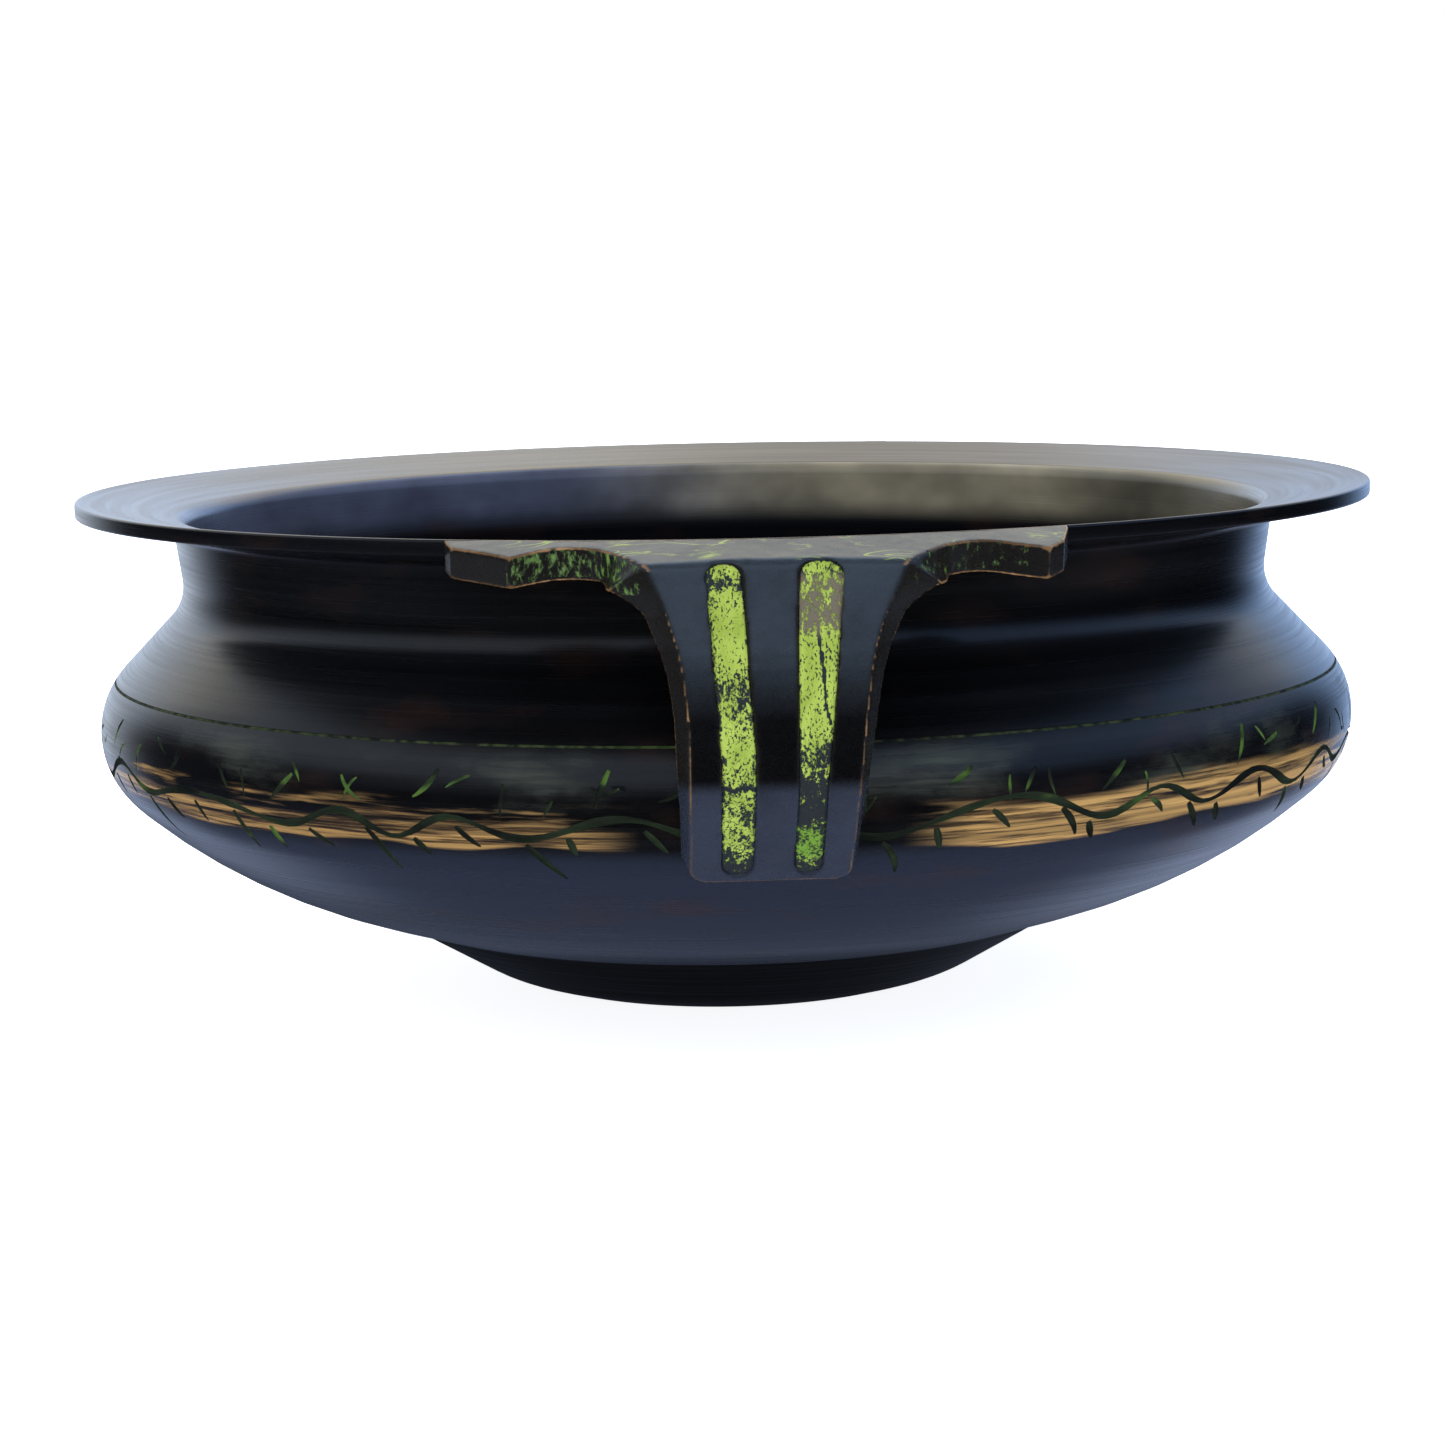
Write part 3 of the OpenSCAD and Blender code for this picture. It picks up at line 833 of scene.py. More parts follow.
def make_foot(settings):
    """A turned ring: dished outside, a flat tread with a step inside it, and a bored middle."""
    step_r, step_z = FOOT_BORE_R + 3, 1.6
    outside = rounded([
        FOOT_TOP, FOOT_WAIST, (REST_R, 0, 1.2), (step_r, 0, 0.8), (step_r, step_z, 0.4),
        (FOOT_BORE_R, step_z, 0.8), (FOOT_BORE_R, underside_z(FOOT_BORE_R), 0)])
    seat = [(r, underside_z(r)) for r in np.linspace(FOOT_BORE_R, FOOT_TOP[0], 24)[1:-1]]
    section = spaced(outside + seat + outside[:1], 3.0)
    foot = turned("turned_foot", section, settings.size.steps)
    smooth(foot, 32)
    finished(foot, "dark_foot", "foot_ring", blackened_foot(settings.finish))


# --------------------------------------------------------------------------
# The handles. A handle is drawn flat as (across, along, depth) in millimetres, along being
# counted down its face from the rim, and then folded over the rim's edge.

WING_FALL = math.radians(16.5)
RIDGE = (214.4, 149.6)
STRAP_END_Z = 62.5
WING_T = 9.4
STRAP_T = 8.0
WING_TOP_Z = 146
WING_UNDER_Z = 141
HOLLOW_FROM = 34
HOLLOW_TO = 68
STRAP_HALF = 36
GROOVES_HALF = 19.5
SEAT_R = 190.0
SEAT_SLOPE = 0.172
FOLD_SOFT = 7.0
TOP_START = 170.0


def fold_line():
    """The handle's face from inside the rim to below the strap's end: (along, radius,
    height, fall) arrays, fall being the angle under the horizontal, softened for the depth."""
    corners = [(TOP_START, RIM_Z + (RIM_R - TOP_START) * math.tan(WING_FALL), 0),
               (*RIDGE, 3.5), (221.6, 112, 60), (214.6, 87, 30), (185.0, 51.1, 0)]
    points = np.array(spaced(rounded(corners), 0.5))
    step = np.diff(points, axis=0)
    along = np.concatenate([[0], np.cumsum(np.hypot(*step.T))])
    fall = np.arctan2(-step[:, 1], step[:, 0])
    even = np.arange(0, along[-1], 0.25)
    radius = np.interp(even, along, points[:, 0])
    height = np.interp(even, along, points[:, 1])
    turn = np.interp(even, (along[1:] + along[:-1]) / 2, fall)
    window = np.ones(int(2 * FOLD_SOFT / 0.25) + 1)
    padded = np.pad(turn, len(window) // 2, mode="edge")
    turn = np.convolve(padded, window / window.sum(), mode="valid")
    start = np.interp(RIM_R, radius[:200], even[:200])
    return even - start, radius, height, turn


FOLD = fold_line()


def along_at_plan(radius):
    """How far along the handle's face a point of its flat top is."""
    return (radius - RIM_R) / math.cos(WING_FALL)


def along_at_height(z):
    """How far along the handle's face a height on its strap is."""
    along, _, height, _ = FOLD
    return float(np.interp(-z, -height, along))


def thinning(along):
    """The strap is a little thinner than the wings."""
    return np.interp(along, (10, 22), (1.0, STRAP_T / WING_T))


# half the strap's width at its face and at its back: (height under the rim, half width)
FACE_HALF = ((-2.1, 38.5), (-3, 36.7), (-3.8, 35), (-4.4, 34), (-7, 31.8), (-14, 29.5),
             (-20.5, 27.2), (-26, 25.4), (-33, 24.2), (-45, 23), (-55, 22.5), (-66, 22),
             (-80, 21.5))
BACK_HALF = ((-12, 43), (-15, 38), (-18, 34.3), (-22, 32), (-26, 30.3), (-33, 28.5),
             (-41, 27), (-50, 26.2), (-67, 24.7), (-82, 23.7))


def half_width(table, height):
    heights, halves = zip(*table)
    return np.interp(-(height - RIM_Z), [-h for h in heights], halves)


def casting_draft():
    """The strap is cast with draft: wider at its back, most of all under the wings. Gives
    where along the face it is worked out, and how much it widens for each mm of depth."""
    along = np.array([7, 13, 17, 20, 22, 24, 26, 28, 37, 48, 65, 97], float)
    height, fall = (np.interp(along, FOLD[0], part) for part in FOLD[2:])
    depth = WING_T * thinning(along)
    face = half_width(FACE_HALF, height)
    back = half_width(BACK_HALF, height - np.cos(fall) * depth)
    return np.append(2, along), np.append(0, (back - face) / depth)


DRAFT = casting_draft()


def folded(points):
    """Points (across, along, depth) in millimetres, carried on to the front handle."""
    across, along, depth = np.asarray(points, float).T
    radius, height, fall = (np.interp(along, FOLD[0], part) for part in FOLD[1:])
    depth = depth * thinning(along)
    across = across + np.interp(along, *DRAFT) * depth * np.clip(across / 21, -1, 1)
    out = radius - np.sin(fall) * depth
    up = height - np.cos(fall) * depth
    cone = np.interp(along, (13, 22), (math.tan(WING_FALL), 0))
    up = up - cone * (np.hypot(across, radius) - radius)
    return np.stack([across, -out, up], axis=1) * MM


def handle_outline():
    """The handle's flat outline: wing tips, the hollows beside the strap, and the strap."""
    left_wing = [(-84, 182.6, 0), (-82.4, 187.7, 1), (-67.1, 200.2, 1.2), (-59.5, 198, 4),
                 (-55.7, 197.6, 8), (-51.9, 198.1, 8), (-48, 199.2, 8), (-44.4, 201, 8),
                 (-39.2, 205.8, 10), (-34.1, 212.4, 0)]
    right_wing = [(80.4, 185.2, 0), (78, 194.6, 1), (73.2, 200.9, 1.2), (64.1, 199.6, 4),
                  (57.7, 198.1, 8), (52.1, 199.6, 8), (46.2, 202.7, 8), (40.1, 208.1, 10),
                  (35.2, 213.4, 0)]
    left_strap = [(-7, 31.3), (-14, 28.7), (-20.5, 26.9), (-26, 25.3), (-33, 23.9),
                  (-45, 22.8), (-55, 22.6), (-66, 22.4), (-80, 22)]
    right_strap = [(-7, 33.3), (-14, 30.8), (-20.5, 27.9), (-26, 26), (-33, 24.6),
                   (-45, 23.2), (-55, 22.4), (-66, 21.6), (-80, 21)]
    left = [(x, along_at_plan(u)) for x, u in rounded(left_wing)]
    left += [(-w, along_at_height(RIM_Z + z)) for z, w in left_strap]
    right = [(x, along_at_plan(u)) for x, u in rounded(right_wing)]
    right += [(w, along_at_height(RIM_Z + z)) for z, w in right_strap]
    end = rounded([(-22, left[-1][1], 0), (-21.7, along_at_height(STRAP_END_Z), 4.5),
                   (20.5, along_at_height(STRAP_END_Z), 4.5), (21, right[-1][1], 0)])
    start = along_at_plan(176)
    return spaced([(-84, start)] + left + end[1:-1] + list(reversed(right))
                  + [(80.4, start)], 1.5)


# groove: (height under the rim, middle, width), then its ends' heights under the rim
GROOVES = {
    "left": ([(-5, -12.4, 9.0), (-10, -12.2, 9.2), (-34, -11.1, 8.9), (-55, -9.7, 9.0),
              (-90, -9.3, 8.5)], -4.6, -89.8),
    "right": ([(-5, 11.8, 10.6), (-10, 11.8, 11.3), (-34, 10.5, 9.9), (-61, 9.35, 7.7),
               (-90, 9.1, 7.5)], -4.2, -89.8),
}


def groove_outline(side, inset):
    rows, top, bottom = GROOVES[side]
    heights, middles, widths = (np.array(part) for part in zip(*rows))
    start = along_at_height(RIM_Z + top) + inset
    end = along_at_height(RIM_Z + bottom) - inset
    edges = []
    for along in np.concatenate([start + 4 * (1 - np.cos(np.linspace(0, 1.5, 7))),
                                 np.linspace(start + 5, end - 5, 40),
                                 end - 4 * (1 - np.cos(np.linspace(1.5, 0, 7)))]):
        z = np.interp(along, FOLD[0], FOLD[2]) - RIM_Z
        middle = np.interp(-z, -heights, middles)
        half = np.interp(-z, -heights, widths) / 2 - inset
        end_gap = min(along - start, end - along, 4) / 4
        edges.append((middle, half * math.sqrt(max(0.04, 1 - (1 - end_gap) ** 2)), along))
    left = [(middle - half, along) for middle, half, along in edges]
    right = [(middle + half, along) for middle, half, along in edges]
    return left + list(reversed(right))


def remeshed(piece, voxel, passes):
    apply_modifier(piece, "REMESH", mode="VOXEL", voxel_size=voxel)
    apply_modifier(piece, "SMOOTH", iterations=passes, factor=0.5)


def hand_worked(points, coarse, fine):
    """Uneven heights left by casting and filing, one for each point in millimetres."""
    return np.array([
        coarse * noise.noise(Vector((x / 15, y / 15, 3.1)))
        + fine * noise.noise(Vector((x / 2.6, y / 2.6, 7.7)))
        for x, y, _ in points])


def edge_ends(piece):
    """The points at each edge's first end and at its second."""
    ends = np.empty(len(piece.data.edges) * 2, int)
    piece.data.edges.foreach_get("vertices", ends)
    return ends.reshape(-1, 2).T


def mean_at_points(ends, at_first, at_second, count):
    """The mean at each point of what its edges give to their first and second ends."""
    total = np.bincount(ends[0], at_first, count) + np.bincount(ends[1], at_second, count)
    return total / np.bincount(ends.ravel(), minlength=count)


def blurred(piece, values, passes):
    """Values at the points, evened out between neighbours."""
    ends = edge_ends(piece)
    for _ in range(passes):
        nearby = mean_at_points(ends, values[ends[1]], values[ends[0]], len(values))
        values = 0.5 * values + 0.5 * nearby
    return values


def sharpness(piece, normals):
    """How far each point stands out from its neighbours: positive on an outer edge."""
    co = points_of(piece)
    ends = edge_ends(piece)
    along = co[ends[1]] - co[ends[0]]
    along /= np.maximum(np.linalg.norm(along, axis=1), 1e-9)[:, None]
    value = mean_at_points(ends, -(normals[ends[0]] * along).sum(1),
                           (normals[ends[1]] * along).sum(1), len(co))
    return blurred(piece, value, 2)


def bowl_body():
    """The space that the bowl takes up, for trimming a handle where it seats on it."""
    flange_low = RIM_Z - RIM_EDGE
    section = [(0, 185), (RIM_R, 185), (RIM_R, flange_low),
               (SEAT_R, flange_low - (RIM_R - SEAT_R) * SEAT_SLOPE), (SEAT_R, 122)]
    outside = rounded([(RIM_R, flange_low, 0)] + outside_corners()[1:])
    section += [(r, z) for r, z in outside if z < 112 and r > 100] + [(0, 20)]
    return turned("bowl_body", spaced(section, 4), 192)


def make_handles(settings):
    size = settings.size
    handle = plate("front_strap_handle", handle_outline(), WING_T)
    for side in GROOVES:
        cut(handle, plate("groove", groove_outline(side, 0), size.groove / MM + 2, 2.0))
    remeshed(handle, size.voxel, 9)
    flat = points_of(handle) / MM
    flat[:, 2] *= -1
    flat[:, 2] += (0.22 + hand_worked(flat, 0.25, 0.05)) * (flat[:, 2] < 5)
    set_points(handle, folded(flat))
    cut(handle, bowl_body())
    normals = normals_of(handle)
    edge = sharpness(handle, normals)
    co = points_of(handle) / MM
    side, height = np.abs(co[:, 0]), co[:, 2]
    upward, frontward = normals[:, 2], -normals[:, 1]
    # its flat top, the hollows between strap and wing tips, and the strap's face
    top = (upward > 0.8) & (height > WING_TOP_Z)
    hollow = (np.abs(upward) < 0.5) & (frontward > 0.35) & (height > WING_UNDER_Z)
    hollow &= (side > HOLLOW_FROM) & (side < HOLLOW_TO)
    front = (frontward > 0.55) & (np.abs(normals[:, 0]) < 0.3) & (side < STRAP_HALF)
    # the grooves' edges aren't rubbed
    grooved = (frontward > 0.3) & (side < GROOVES_HALF) & (height > STRAP_END_Z + 1)
    attribute(handle, "edge", ~grooved * np.interp(edge, (0.04, 0.12), (0, 1)))
    attribute(handle, "top", top)
    # painted sheen: the flat top, and the strap's face more strongly towards its top
    painted_sheen = top + front * np.interp(height, (109, 127), (0, 0.65))
    attribute(handle, "painted_sheen", blurred(handle, painted_sheen, 3))
    attribute(handle, "flank", blurred(handle, 1.0 * ~(front | top), 3))
    attribute(handle, "residue", np.where(hollow, np.where(co[:, 0] < 0, 0.62, 0.54), -0.3))
    smooth(handle, 50)
    rear = other_side(handle, "rear_strap_handle")
    metal = filed_brass(settings.finish)
    finished(handle, "handle_brass", "front_handle", metal)
    finished(rear, "handle_brass", "rear_handle", metal)


def other_side(piece, name):
    """A copy with its own mesh, half a turn round the bowl."""
    choose(piece)
    bpy.ops.object.duplicate(linked=False)
    copy = bpy.context.object
    copy.name = copy.data.name = name
    bpy.ops.object.mode_set(mode="EDIT")
    bpy.ops.mesh.select_all(action="SELECT")
    bpy.ops.transform.rotate(value=math.pi, orient_axis="Z", center_override=(0, 0, 0))
    bpy.ops.object.mode_set(mode="OBJECT")
    return copy


# where the paste has crumbled: (height under the rim, how worn) down each groove, then a
# crease across the left one, a crack down the right one: (height, across), and the stretches
# of the right one with a grey film and with an older filling
WORN = {
    "left": ((-4, 0.38), (-10, 0.46), (-18, 0.3), (-30, 0.32), (-36, 0.5), (-44, 0.5),
             (-50, 0.36), (-61, 0.4), (-65, 0.5), (-80, 0.46), (-85, 0.6), (-90, 0.7)),
    "right": ((-4, 0.45), (-9, 0.56), (-20, 0.6), (-24, 0.3), (-46, 0.3), (-50, 0.5),
              (-59, 0.56), (-62, 0.72), (-73, 0.68), (-76, 0.48), (-84, 0.46), (-86, 0.7),
              (-90, 0.66)),
}


CREASE_Z = -63.5
CRACK = ((-47, 13.6), (-41, 12.3), (-34, 12.1), (-23, 10.8))
FILM_FALL = (-25, -22, -9, -7)
OLD_FALL = (-87, -84, -76, -73)


def make_inlays(settings):
    """Paste in the front and rear grooves, sunk a hair below the metal and pitted."""
    size = settings.size
    paste = pigment_paste(settings.finish)
    for side, worn in WORN.items():
        inlay = plate(f"front_{side}_paste", groove_outline(side, 0.12),
                      size.groove / MM - 0.25, -0.25)
        remeshed(inlay, size.voxel * 0.8, 2)
        flat = points_of(inlay) / MM
        flat[:, 2] *= -1
        heights = np.interp(flat[:, 1], FOLD[0], FOLD[2]) - RIM_Z
        table = np.array(worn)
        amount = np.interp(-heights, -table[:, 0], table[:, 1])
        # it crumbles first along the groove's sides, and the dark metal left there is painted
        # shade along the groove's border
        rows = np.array(GROOVES[side][0])
        middle = np.interp(-heights, -rows[:, 0], rows[:, 1])
        half = np.interp(-heights, -rows[:, 0], rows[:, 2]) / 2
        amount += np.interp(np.abs(flat[:, 0] - middle) / half, (0.75, 1), (0, 0.16))
        if side == "left":
            crease = np.abs(heights - CREASE_Z + 0.5 * np.sin(flat[:, 0])) < 0.5
        else:
            crack = np.interp(heights, *zip(*CRACK))
            crease = (np.abs(flat[:, 0] - crack) < 0.4) & (heights > -47) & (heights < -20)
        amount += 0.5 * crease
        face = flat[:, 2] < 1
        flat[:, 2] += face * (0.27 + 0.45 * amount + hand_worked(flat, 0.1, 0.22))
        set_points(inlay, folded(flat))
        right = side == "right"
        attribute(inlay, "worn", amount)
        attribute(inlay, "film", right * np.interp(heights, FILM_FALL, (0, 1, 1, 0)))
        attribute(inlay, "old", right * np.interp(heights, OLD_FALL, (0, 1, 1, 0)))
        smooth(inlay, 60)
        rear = other_side(inlay, f"rear_{side}_paste")
        finished(inlay, "green_fill", f"front_handle_{side}_inlay", paste)
        finished(rear, "green_fill", f"rear_handle_{side}_inlay", paste)


def finish_brazes(settings):
    """The brazed joints keep their shape and take their finish."""
    bead = braze_bead(settings.finish)
    for name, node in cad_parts.items():
        if name.endswith("braze"):
            node.data.materials.clear()
            node.data.materials.append(bead)


# --------------------------------------------------------------------------
# The studio

HEADING = math.radians(3.4)
EYE = (-0.0669, -1.1256, 0.2367)
PITCH = math.radians(-8.02)
YAW = math.radians(-0.06)
ROLL = math.radians(1.1)
LENS_MM = 89.69


def add_camera():
    turn = HEADING + YAW
    forward = Vector((math.sin(turn) * math.cos(PITCH), math.cos(turn) * math.cos(PITCH),
                      math.sin(PITCH)))
    right = forward.cross(Vector((0, 0, 1))).normalized()
    up = right.cross(forward)
    rolled_up = up * math.cos(ROLL) + right * math.sin(ROLL)
    rolled_right = right * math.cos(ROLL) - up * math.sin(ROLL)
    deselect()
    bpy.ops.object.camera_add(location=EYE)
    camera = bpy.context.object
    turned_to = Matrix((rolled_right, rolled_up, -forward)).transposed()
    camera.rotation_euler = turned_to.to_euler()
    camera.data.lens = LENS_MM
    camera.data.sensor_width = 36
    camera.data.clip_end = 100
    bpy.context.scene.camera = camera


def add_softbox(name, place, aim, width, height, power, colour="#ffffff"):
    deselect()
    bpy.ops.object.light_add(type="AREA", location=place)
    light = bpy.context.object
    light.name = name
    direction = Vector(aim) - Vector(place)
    light.rotation_euler = direction.to_track_quat("-Z", "Y").to_euler()
    light.data.shape = "RECTANGLE"
    light.data.size = width
    light.data.size_y = height
    light.data.energy = power
    light.data.color = linear(colour)[:3]


def studio_paper(colour):
    """Matt white background paper, lit through from below: a faint tooth and no shine."""
    material, tree, shader, place = started("studio_paper")
    tooth_at = add(tree, "Mapping", {0: place, "Scale": per_mm(3, 3, 3)})
    tooth = add(tree, "TexNoise", {"Vector": tooth_at, "Scale": 1, "Detail": 3})
    bump = add(tree, "Bump", {"Height": tooth, "Distance": 0.05 * MM, "Strength": 0.3})
    join(tree, shader, {"Base Color": colour, "Roughness": 0.9, "Specular IOR Level": 0.1,
                        "Normal": bump, "Emission Color": colour, "Emission Strength": 1.0})
    return material


def make_world():
    """The room that the gloss shows: bright beyond the bowl, pale from above, navy from
    below and dark at eye height. Behind the object it is plain white."""
    world = bpy.data.worlds.new("studio")
    bpy.context.scene.world = world
    world.use_nodes = True
    tree = world.node_tree
    tree.nodes.clear()
    towards = tree.nodes.new("ShaderNodeSeparateXYZ")
    join(tree, towards, {0: add(tree, "TexCoord", out="Generated")})
    side, away, rise = towards.outputs

    # how bright: white beyond, pale high up, dim low down and black on the viewer's side
    steep = add(tree, "Math", {0: rise, 1: -0.3}, operation="MULTIPLY")
    steep = add(tree, "Math", {0: rise, 1: steep}, operation="MAXIMUM")
    aside = add(tree, "Math", {0: side}, operation="ABSOLUTE")
    aside = add(tree, "MapRange", {0: aside, 1: 0.1, 2: 0.38}, interpolation_type="SMOOTHSTEP")
    level_up = add(tree, "MapRange", {0: rise, 1: -0.28, 2: -0.1})
    clear = add(tree, "Math", {0: aside, 1: level_up}, operation="MAXIMUM")
    beyond = add(tree, "Math", {0: steep, 1: 0.5, 2: away}, operation="MULTIPLY_ADD")
    beyond = add(tree, "MapRange", {0: beyond, 1: 0.64, 2: 0.96, 4: 1.9},
                 interpolation_type="SMOOTHSTEP")
    beyond = add(tree, "Math", {0: beyond, 1: clear}, operation="MULTIPLY")
    raised = add(tree, "MapRange", {0: rise, 1: 0.12, 2: 0.38},
                 interpolation_type="SMOOTHSTEP")
    ceiling = add(tree, "MapRange", {0: rise, 1: 0.88, 2: 0.6}, interpolation_type="SMOOTHSTEP")
    above = add(tree, "Math", {0: raised, 1: ceiling}, operation="MULTIPLY")
    below = add(tree, "MapRange", {0: rise, 1: -0.24, 2: -0.36, 4: 0.3},
                interpolation_type="SMOOTHSTEP")
    past = add(tree, "MapRange", {0: away, 1: -0.6, 2: -0.25}, interpolation_type="SMOOTHSTEP")
    below = add(tree, "Math", {0: below, 1: past}, operation="MULTIPLY")
    level = add(tree, "Math", {0: above, 1: below}, operation="MAXIMUM")
    level = add(tree, "Math", {0: level, 1: beyond}, operation="MAXIMUM")
    level = add(tree, "Math", {0: level, 1: 0.005}, operation="MAXIMUM")

    # what tint: bluer towards +X, navy low down, warm high up and beyond
    cool = add(tree, "MapRange", {0: side, 1: -0.4, 2: 0.6})
    tint = add(tree, "Mix", {0: cool, 6: linear("#ccd8e8"), 7: linear("#9bbdee")}, out=2,
               data_type="RGBA")
    navy = add(tree, "MapRange", {0: rise, 1: -0.1, 2: -0.3})
    tint = add(tree, "Mix", {0: navy, 6: tint, 7: linear("#98a6c4")}, out=2,
               data_type="RGBA")
    behind = add(tree, "MapRange", {0: away, 1: 0.4, 2: 0.75})
    sunlit = add(tree, "MapRange", {0: rise, 1: 0.25, 2: 0.45})
    sunlit = add(tree, "Math", {0: sunlit, 1: behind}, operation="MULTIPLY")
    tint = add(tree, "Mix", {0: sunlit, 6: tint, 7: linear("#e3dccb")}, out=2,
               data_type="RGBA")

    seen = add(tree, "LightPath", out="Is Camera Ray")
    level = add(tree, "Mix", {0: seen, 2: level, 3: 1.0})
    tint = add(tree, "Mix", {0: seen, 6: tint, 7: (1, 1, 1, 1)}, out=2, data_type="RGBA")
    shine = add(tree, "Background", {"Color": tint, "Strength": level})
    tree.links.new(shine, tree.nodes.new("ShaderNodeOutputWorld").inputs["Surface"])


def make_studio(settings):
    deselect()
    bpy.ops.mesh.primitive_plane_add(size=8)
    floor = bpy.context.object
    floor.name = floor.data.name = "studio_floor"
    floor.data.materials.append(studio_paper(settings.finish.paper))

    make_world()
    add_softbox("front_softbox", (-0.4, -1.5, 2.0), (0, -0.1, 0.1), 0.8, 0.8, 22, "#fff8ee")
    add_softbox("ceiling_bank", (0, 1.5, 4.5), (0, 1.5, 0), 12, 12, 760, "#f8faff")
    # nothing of the floor or the lamps is mirrored: the gloss is all from the room
    for name in ("studio_floor", "front_softbox", "ceiling_bank"):
        bpy.data.objects[name].visible_glossy = False
    add_camera()
    bpy.context.scene.view_settings.view_transform = "Standard"


# --------------------------------------------------------------------------
# Settings a user would change


class URLI_PG_size(PropertyGroup):
    wall: FloatProperty(name="Wall", description="Thickness of the cast wall",
                        default=0.004, min=0.002, max=0.008, unit="LENGTH")
    cut: FloatProperty(name="Engraving", description="Width of an engraved stroke",
                       default=0.0019, min=0.0005, max=0.004, unit="LENGTH")
    groove: FloatProperty(name="Groove depth", description="Depth of the handles' grooves",
                          default=0.0018, min=0.001, max=0.003, unit="LENGTH")
    voxel: FloatProperty(name="Casting detail", description="Grain of the handles' surface",
                         default=0.0006, min=0.0005, max=0.002, unit="LENGTH")
    steps: IntProperty(name="Turning steps", description="Facets round the bowl",
                       default=256, min=64, max=512)


def swatch(name, description, colour):
    return FloatVectorProperty(name=name, description=description, subtype="COLOR", size=4,
                               min=0, max=1, default=linear(colour))


class URLI_PG_finish(PropertyGroup):
    patina: swatch("Patina", "Blackened brass", "#060608")
    patina_grey: swatch("Grey patina", "Blackened brass where it thins", "#0c0d10")
    # painted reflection: the navy that the underside of the belly shows
    underside_navy_reflection: swatch("Blue patina", "Blackened brass under the belly", "#181d2a")
    # painted reflection on a strap's lower end
    strap_navy_reflection: swatch("Strap navy", "Filed metal at a strap's lower end", "#272d3b")
    # painted sheen on a handle's top
    handle_grey_sheen: swatch("Handle grey", "Filed metal at the top of a handle", "#2f3841")
    foot_black: swatch("Foot", "The foot's blackened metal", "#050505")
    # dust, and painted sheen for the shoulder's grey highlights
    dust_and_sheen_grey: swatch("Dust", "Dust on the shoulder", "#3c4138")
    warm_stain: swatch("Warm stain", "Reddish brown stains", "#2b1a13")
    # matt oxide, and painted reflection, on the upper inside of the neck
    inside_oxide_cool_reflection: swatch("Inside, cool", "Matt oxide inside the neck", "#4c5266")
    inside_oxide_warm_reflection: swatch("Inside, warm", "Matt oxide inside the neck", "#86806c")
    flange_warm: swatch("Flange", "Rubbed metal on top of the flange", "#433b30")
    brass: swatch("Brass", "Brass rubbed bright", "#b58f55")
    brass_brown: swatch("Brown brass", "Brass half rubbed through", "#5c4224")
    edge_brass: swatch("Edge brass", "Brass on worn edges", "#ab8358")
    green: swatch("Paste", "Pigment paste", "#93a648")
    green_deep: swatch("Deep paste", "Pigment paste where it is thin", "#7f9338")
    old_green: swatch("Old paste", "Pigment paste from an earlier filling", "#5b7f26")
    film_grey: swatch("Paste film", "A grey film where the paste has flaked", "#5f594b")
    residue_green: swatch("Wiped paste", "Paste left in corners", "#4f7226")
    bare_groove: swatch("Bare groove", "A groove where its paste is gone", "#20262a")
    flank_brown: swatch("Flank", "Dull brown metal on a handle's sides", "#151311")
    cut_dark: swatch("Dark cut", "Old paste in the engraving", "#0c110c")
    cut_green: swatch("Green cut", "Paste in the engraving", "#1f2c18")
    line_olive: swatch("Line", "Paste in the line round the belly", "#2e371d")
    paper: swatch("Paper", "The studio's background paper", "#f4f5f7")


class URLI_PG_settings(PropertyGroup):
    size: PointerProperty(name="Sizes", description="Sizes of the bowl", type=URLI_PG_size)
    finish: PointerProperty(name="Finishes", description="Colours of the finishes",
                            type=URLI_PG_finish)


# --------------------------------------------------------------------------
# Operators and panel


class URLI_OT_bowl(Operator):
    """Turn the bowl and engrave the vine round its belly"""

    bl_idname = "urli.bowl"
    bl_label = "Bowl"

    def execute(self, context):
        make_bowl(context.scene.urli)
        return {"FINISHED"}


class URLI_OT_belly_line(Operator):
    """Fill the hairline round the belly with paste"""

    bl_idname = "urli.belly_line"
    bl_label = "Belly Line"

    def execute(self, context):
        make_belly_line(context.scene.urli)
        return {"FINISHED"}


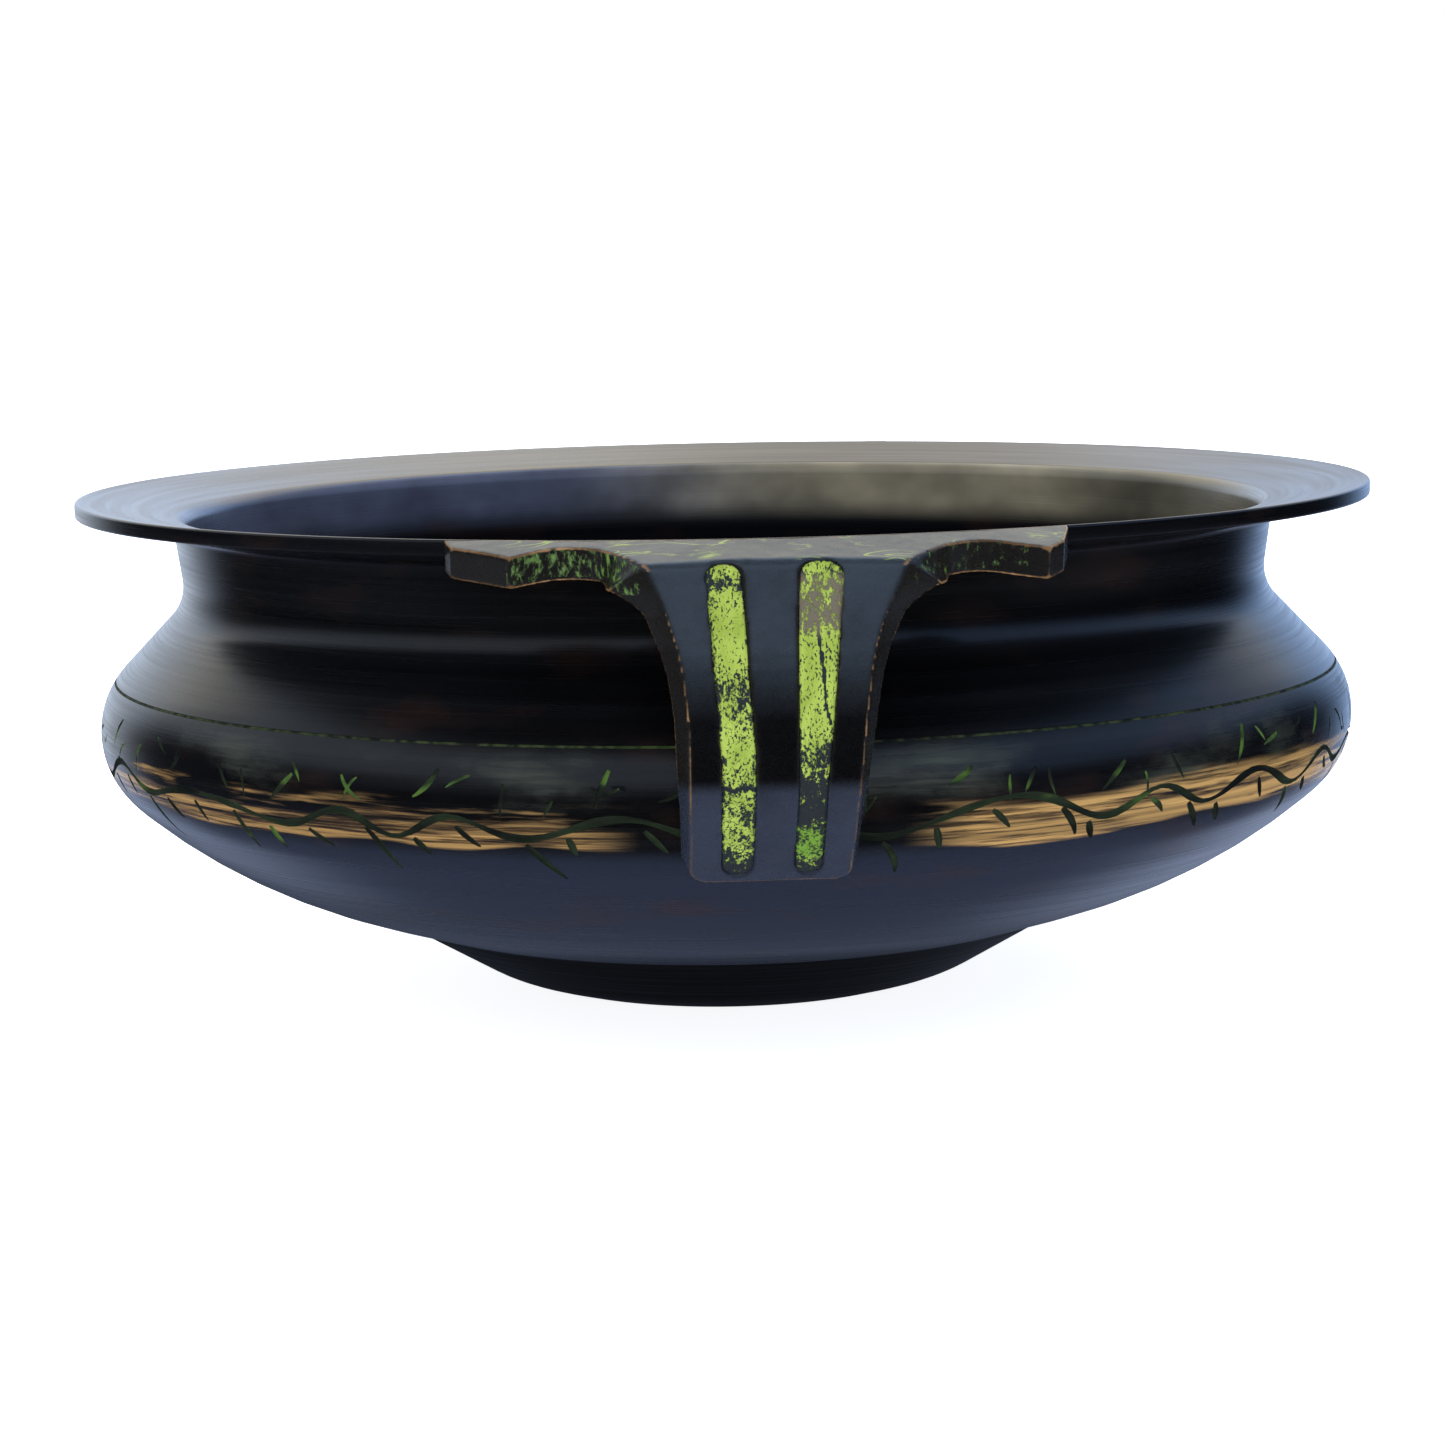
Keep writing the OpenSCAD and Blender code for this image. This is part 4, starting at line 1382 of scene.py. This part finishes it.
class URLI_OT_foot(Operator):
    """Turn the foot ring"""

    bl_idname = "urli.foot"
    bl_label = "Foot"

    def execute(self, context):
        make_foot(context.scene.urli)
        return {"FINISHED"}


class URLI_OT_handles(Operator):
    """Shape the two strap handles and fold them over the rim"""

    bl_idname = "urli.handles"
    bl_label = "Handles"

    def execute(self, context):
        make_handles(context.scene.urli)
        return {"FINISHED"}


class URLI_OT_inlays(Operator):
    """Fill the handles' grooves with paste"""

    bl_idname = "urli.inlays"
    bl_label = "Groove Paste"

    def execute(self, context):
        make_inlays(context.scene.urli)
        return {"FINISHED"}


class URLI_OT_brazes(Operator):
    """Finish the brazed joints"""

    bl_idname = "urli.brazes"
    bl_label = "Brazed Joints"

    def execute(self, context):
        finish_brazes(context.scene.urli)
        return {"FINISHED"}


class URLI_OT_studio(Operator):
    """Add the floor, the lights and the camera"""

    bl_idname = "urli.studio"
    bl_label = "Studio"

    def execute(self, context):
        make_studio(context.scene.urli)
        return {"FINISHED"}


STEPS = (URLI_OT_bowl, URLI_OT_belly_line, URLI_OT_foot, URLI_OT_handles, URLI_OT_inlays,
         URLI_OT_brazes, URLI_OT_studio)


class URLI_PT_panel(Panel):
    """Settings and steps for building the bowl"""

    bl_label = "Urli Bowl"
    bl_space_type = "VIEW_3D"
    bl_region_type = "UI"
    bl_category = "Urli"

    def draw(self, context):
        settings = context.scene.urli
        for group in (settings.size, settings.finish):
            column = self.layout.column(align=True)
            for name in group.__annotations__:
                column.prop(group, name)
        for step in STEPS:
            self.layout.operator(step.bl_idname)


CLASSES = (URLI_PG_size, URLI_PG_finish, URLI_PG_settings, *STEPS, URLI_PT_panel)


def register():
    for cls in CLASSES:
        bpy.utils.register_class(cls)
    bpy.types.Scene.urli = PointerProperty(type=URLI_PG_settings)


def unregister():
    del bpy.types.Scene.urli
    for cls in reversed(CLASSES):
        bpy.utils.unregister_class(cls)


def main():
    register()
    bpy.ops.urli.bowl()
    bpy.ops.urli.belly_line()
    bpy.ops.urli.foot()
    bpy.ops.urli.handles()
    bpy.ops.urli.inlays()
    bpy.ops.urli.brazes()
    bpy.ops.urli.studio()


if __name__ == "__main__":
    main()
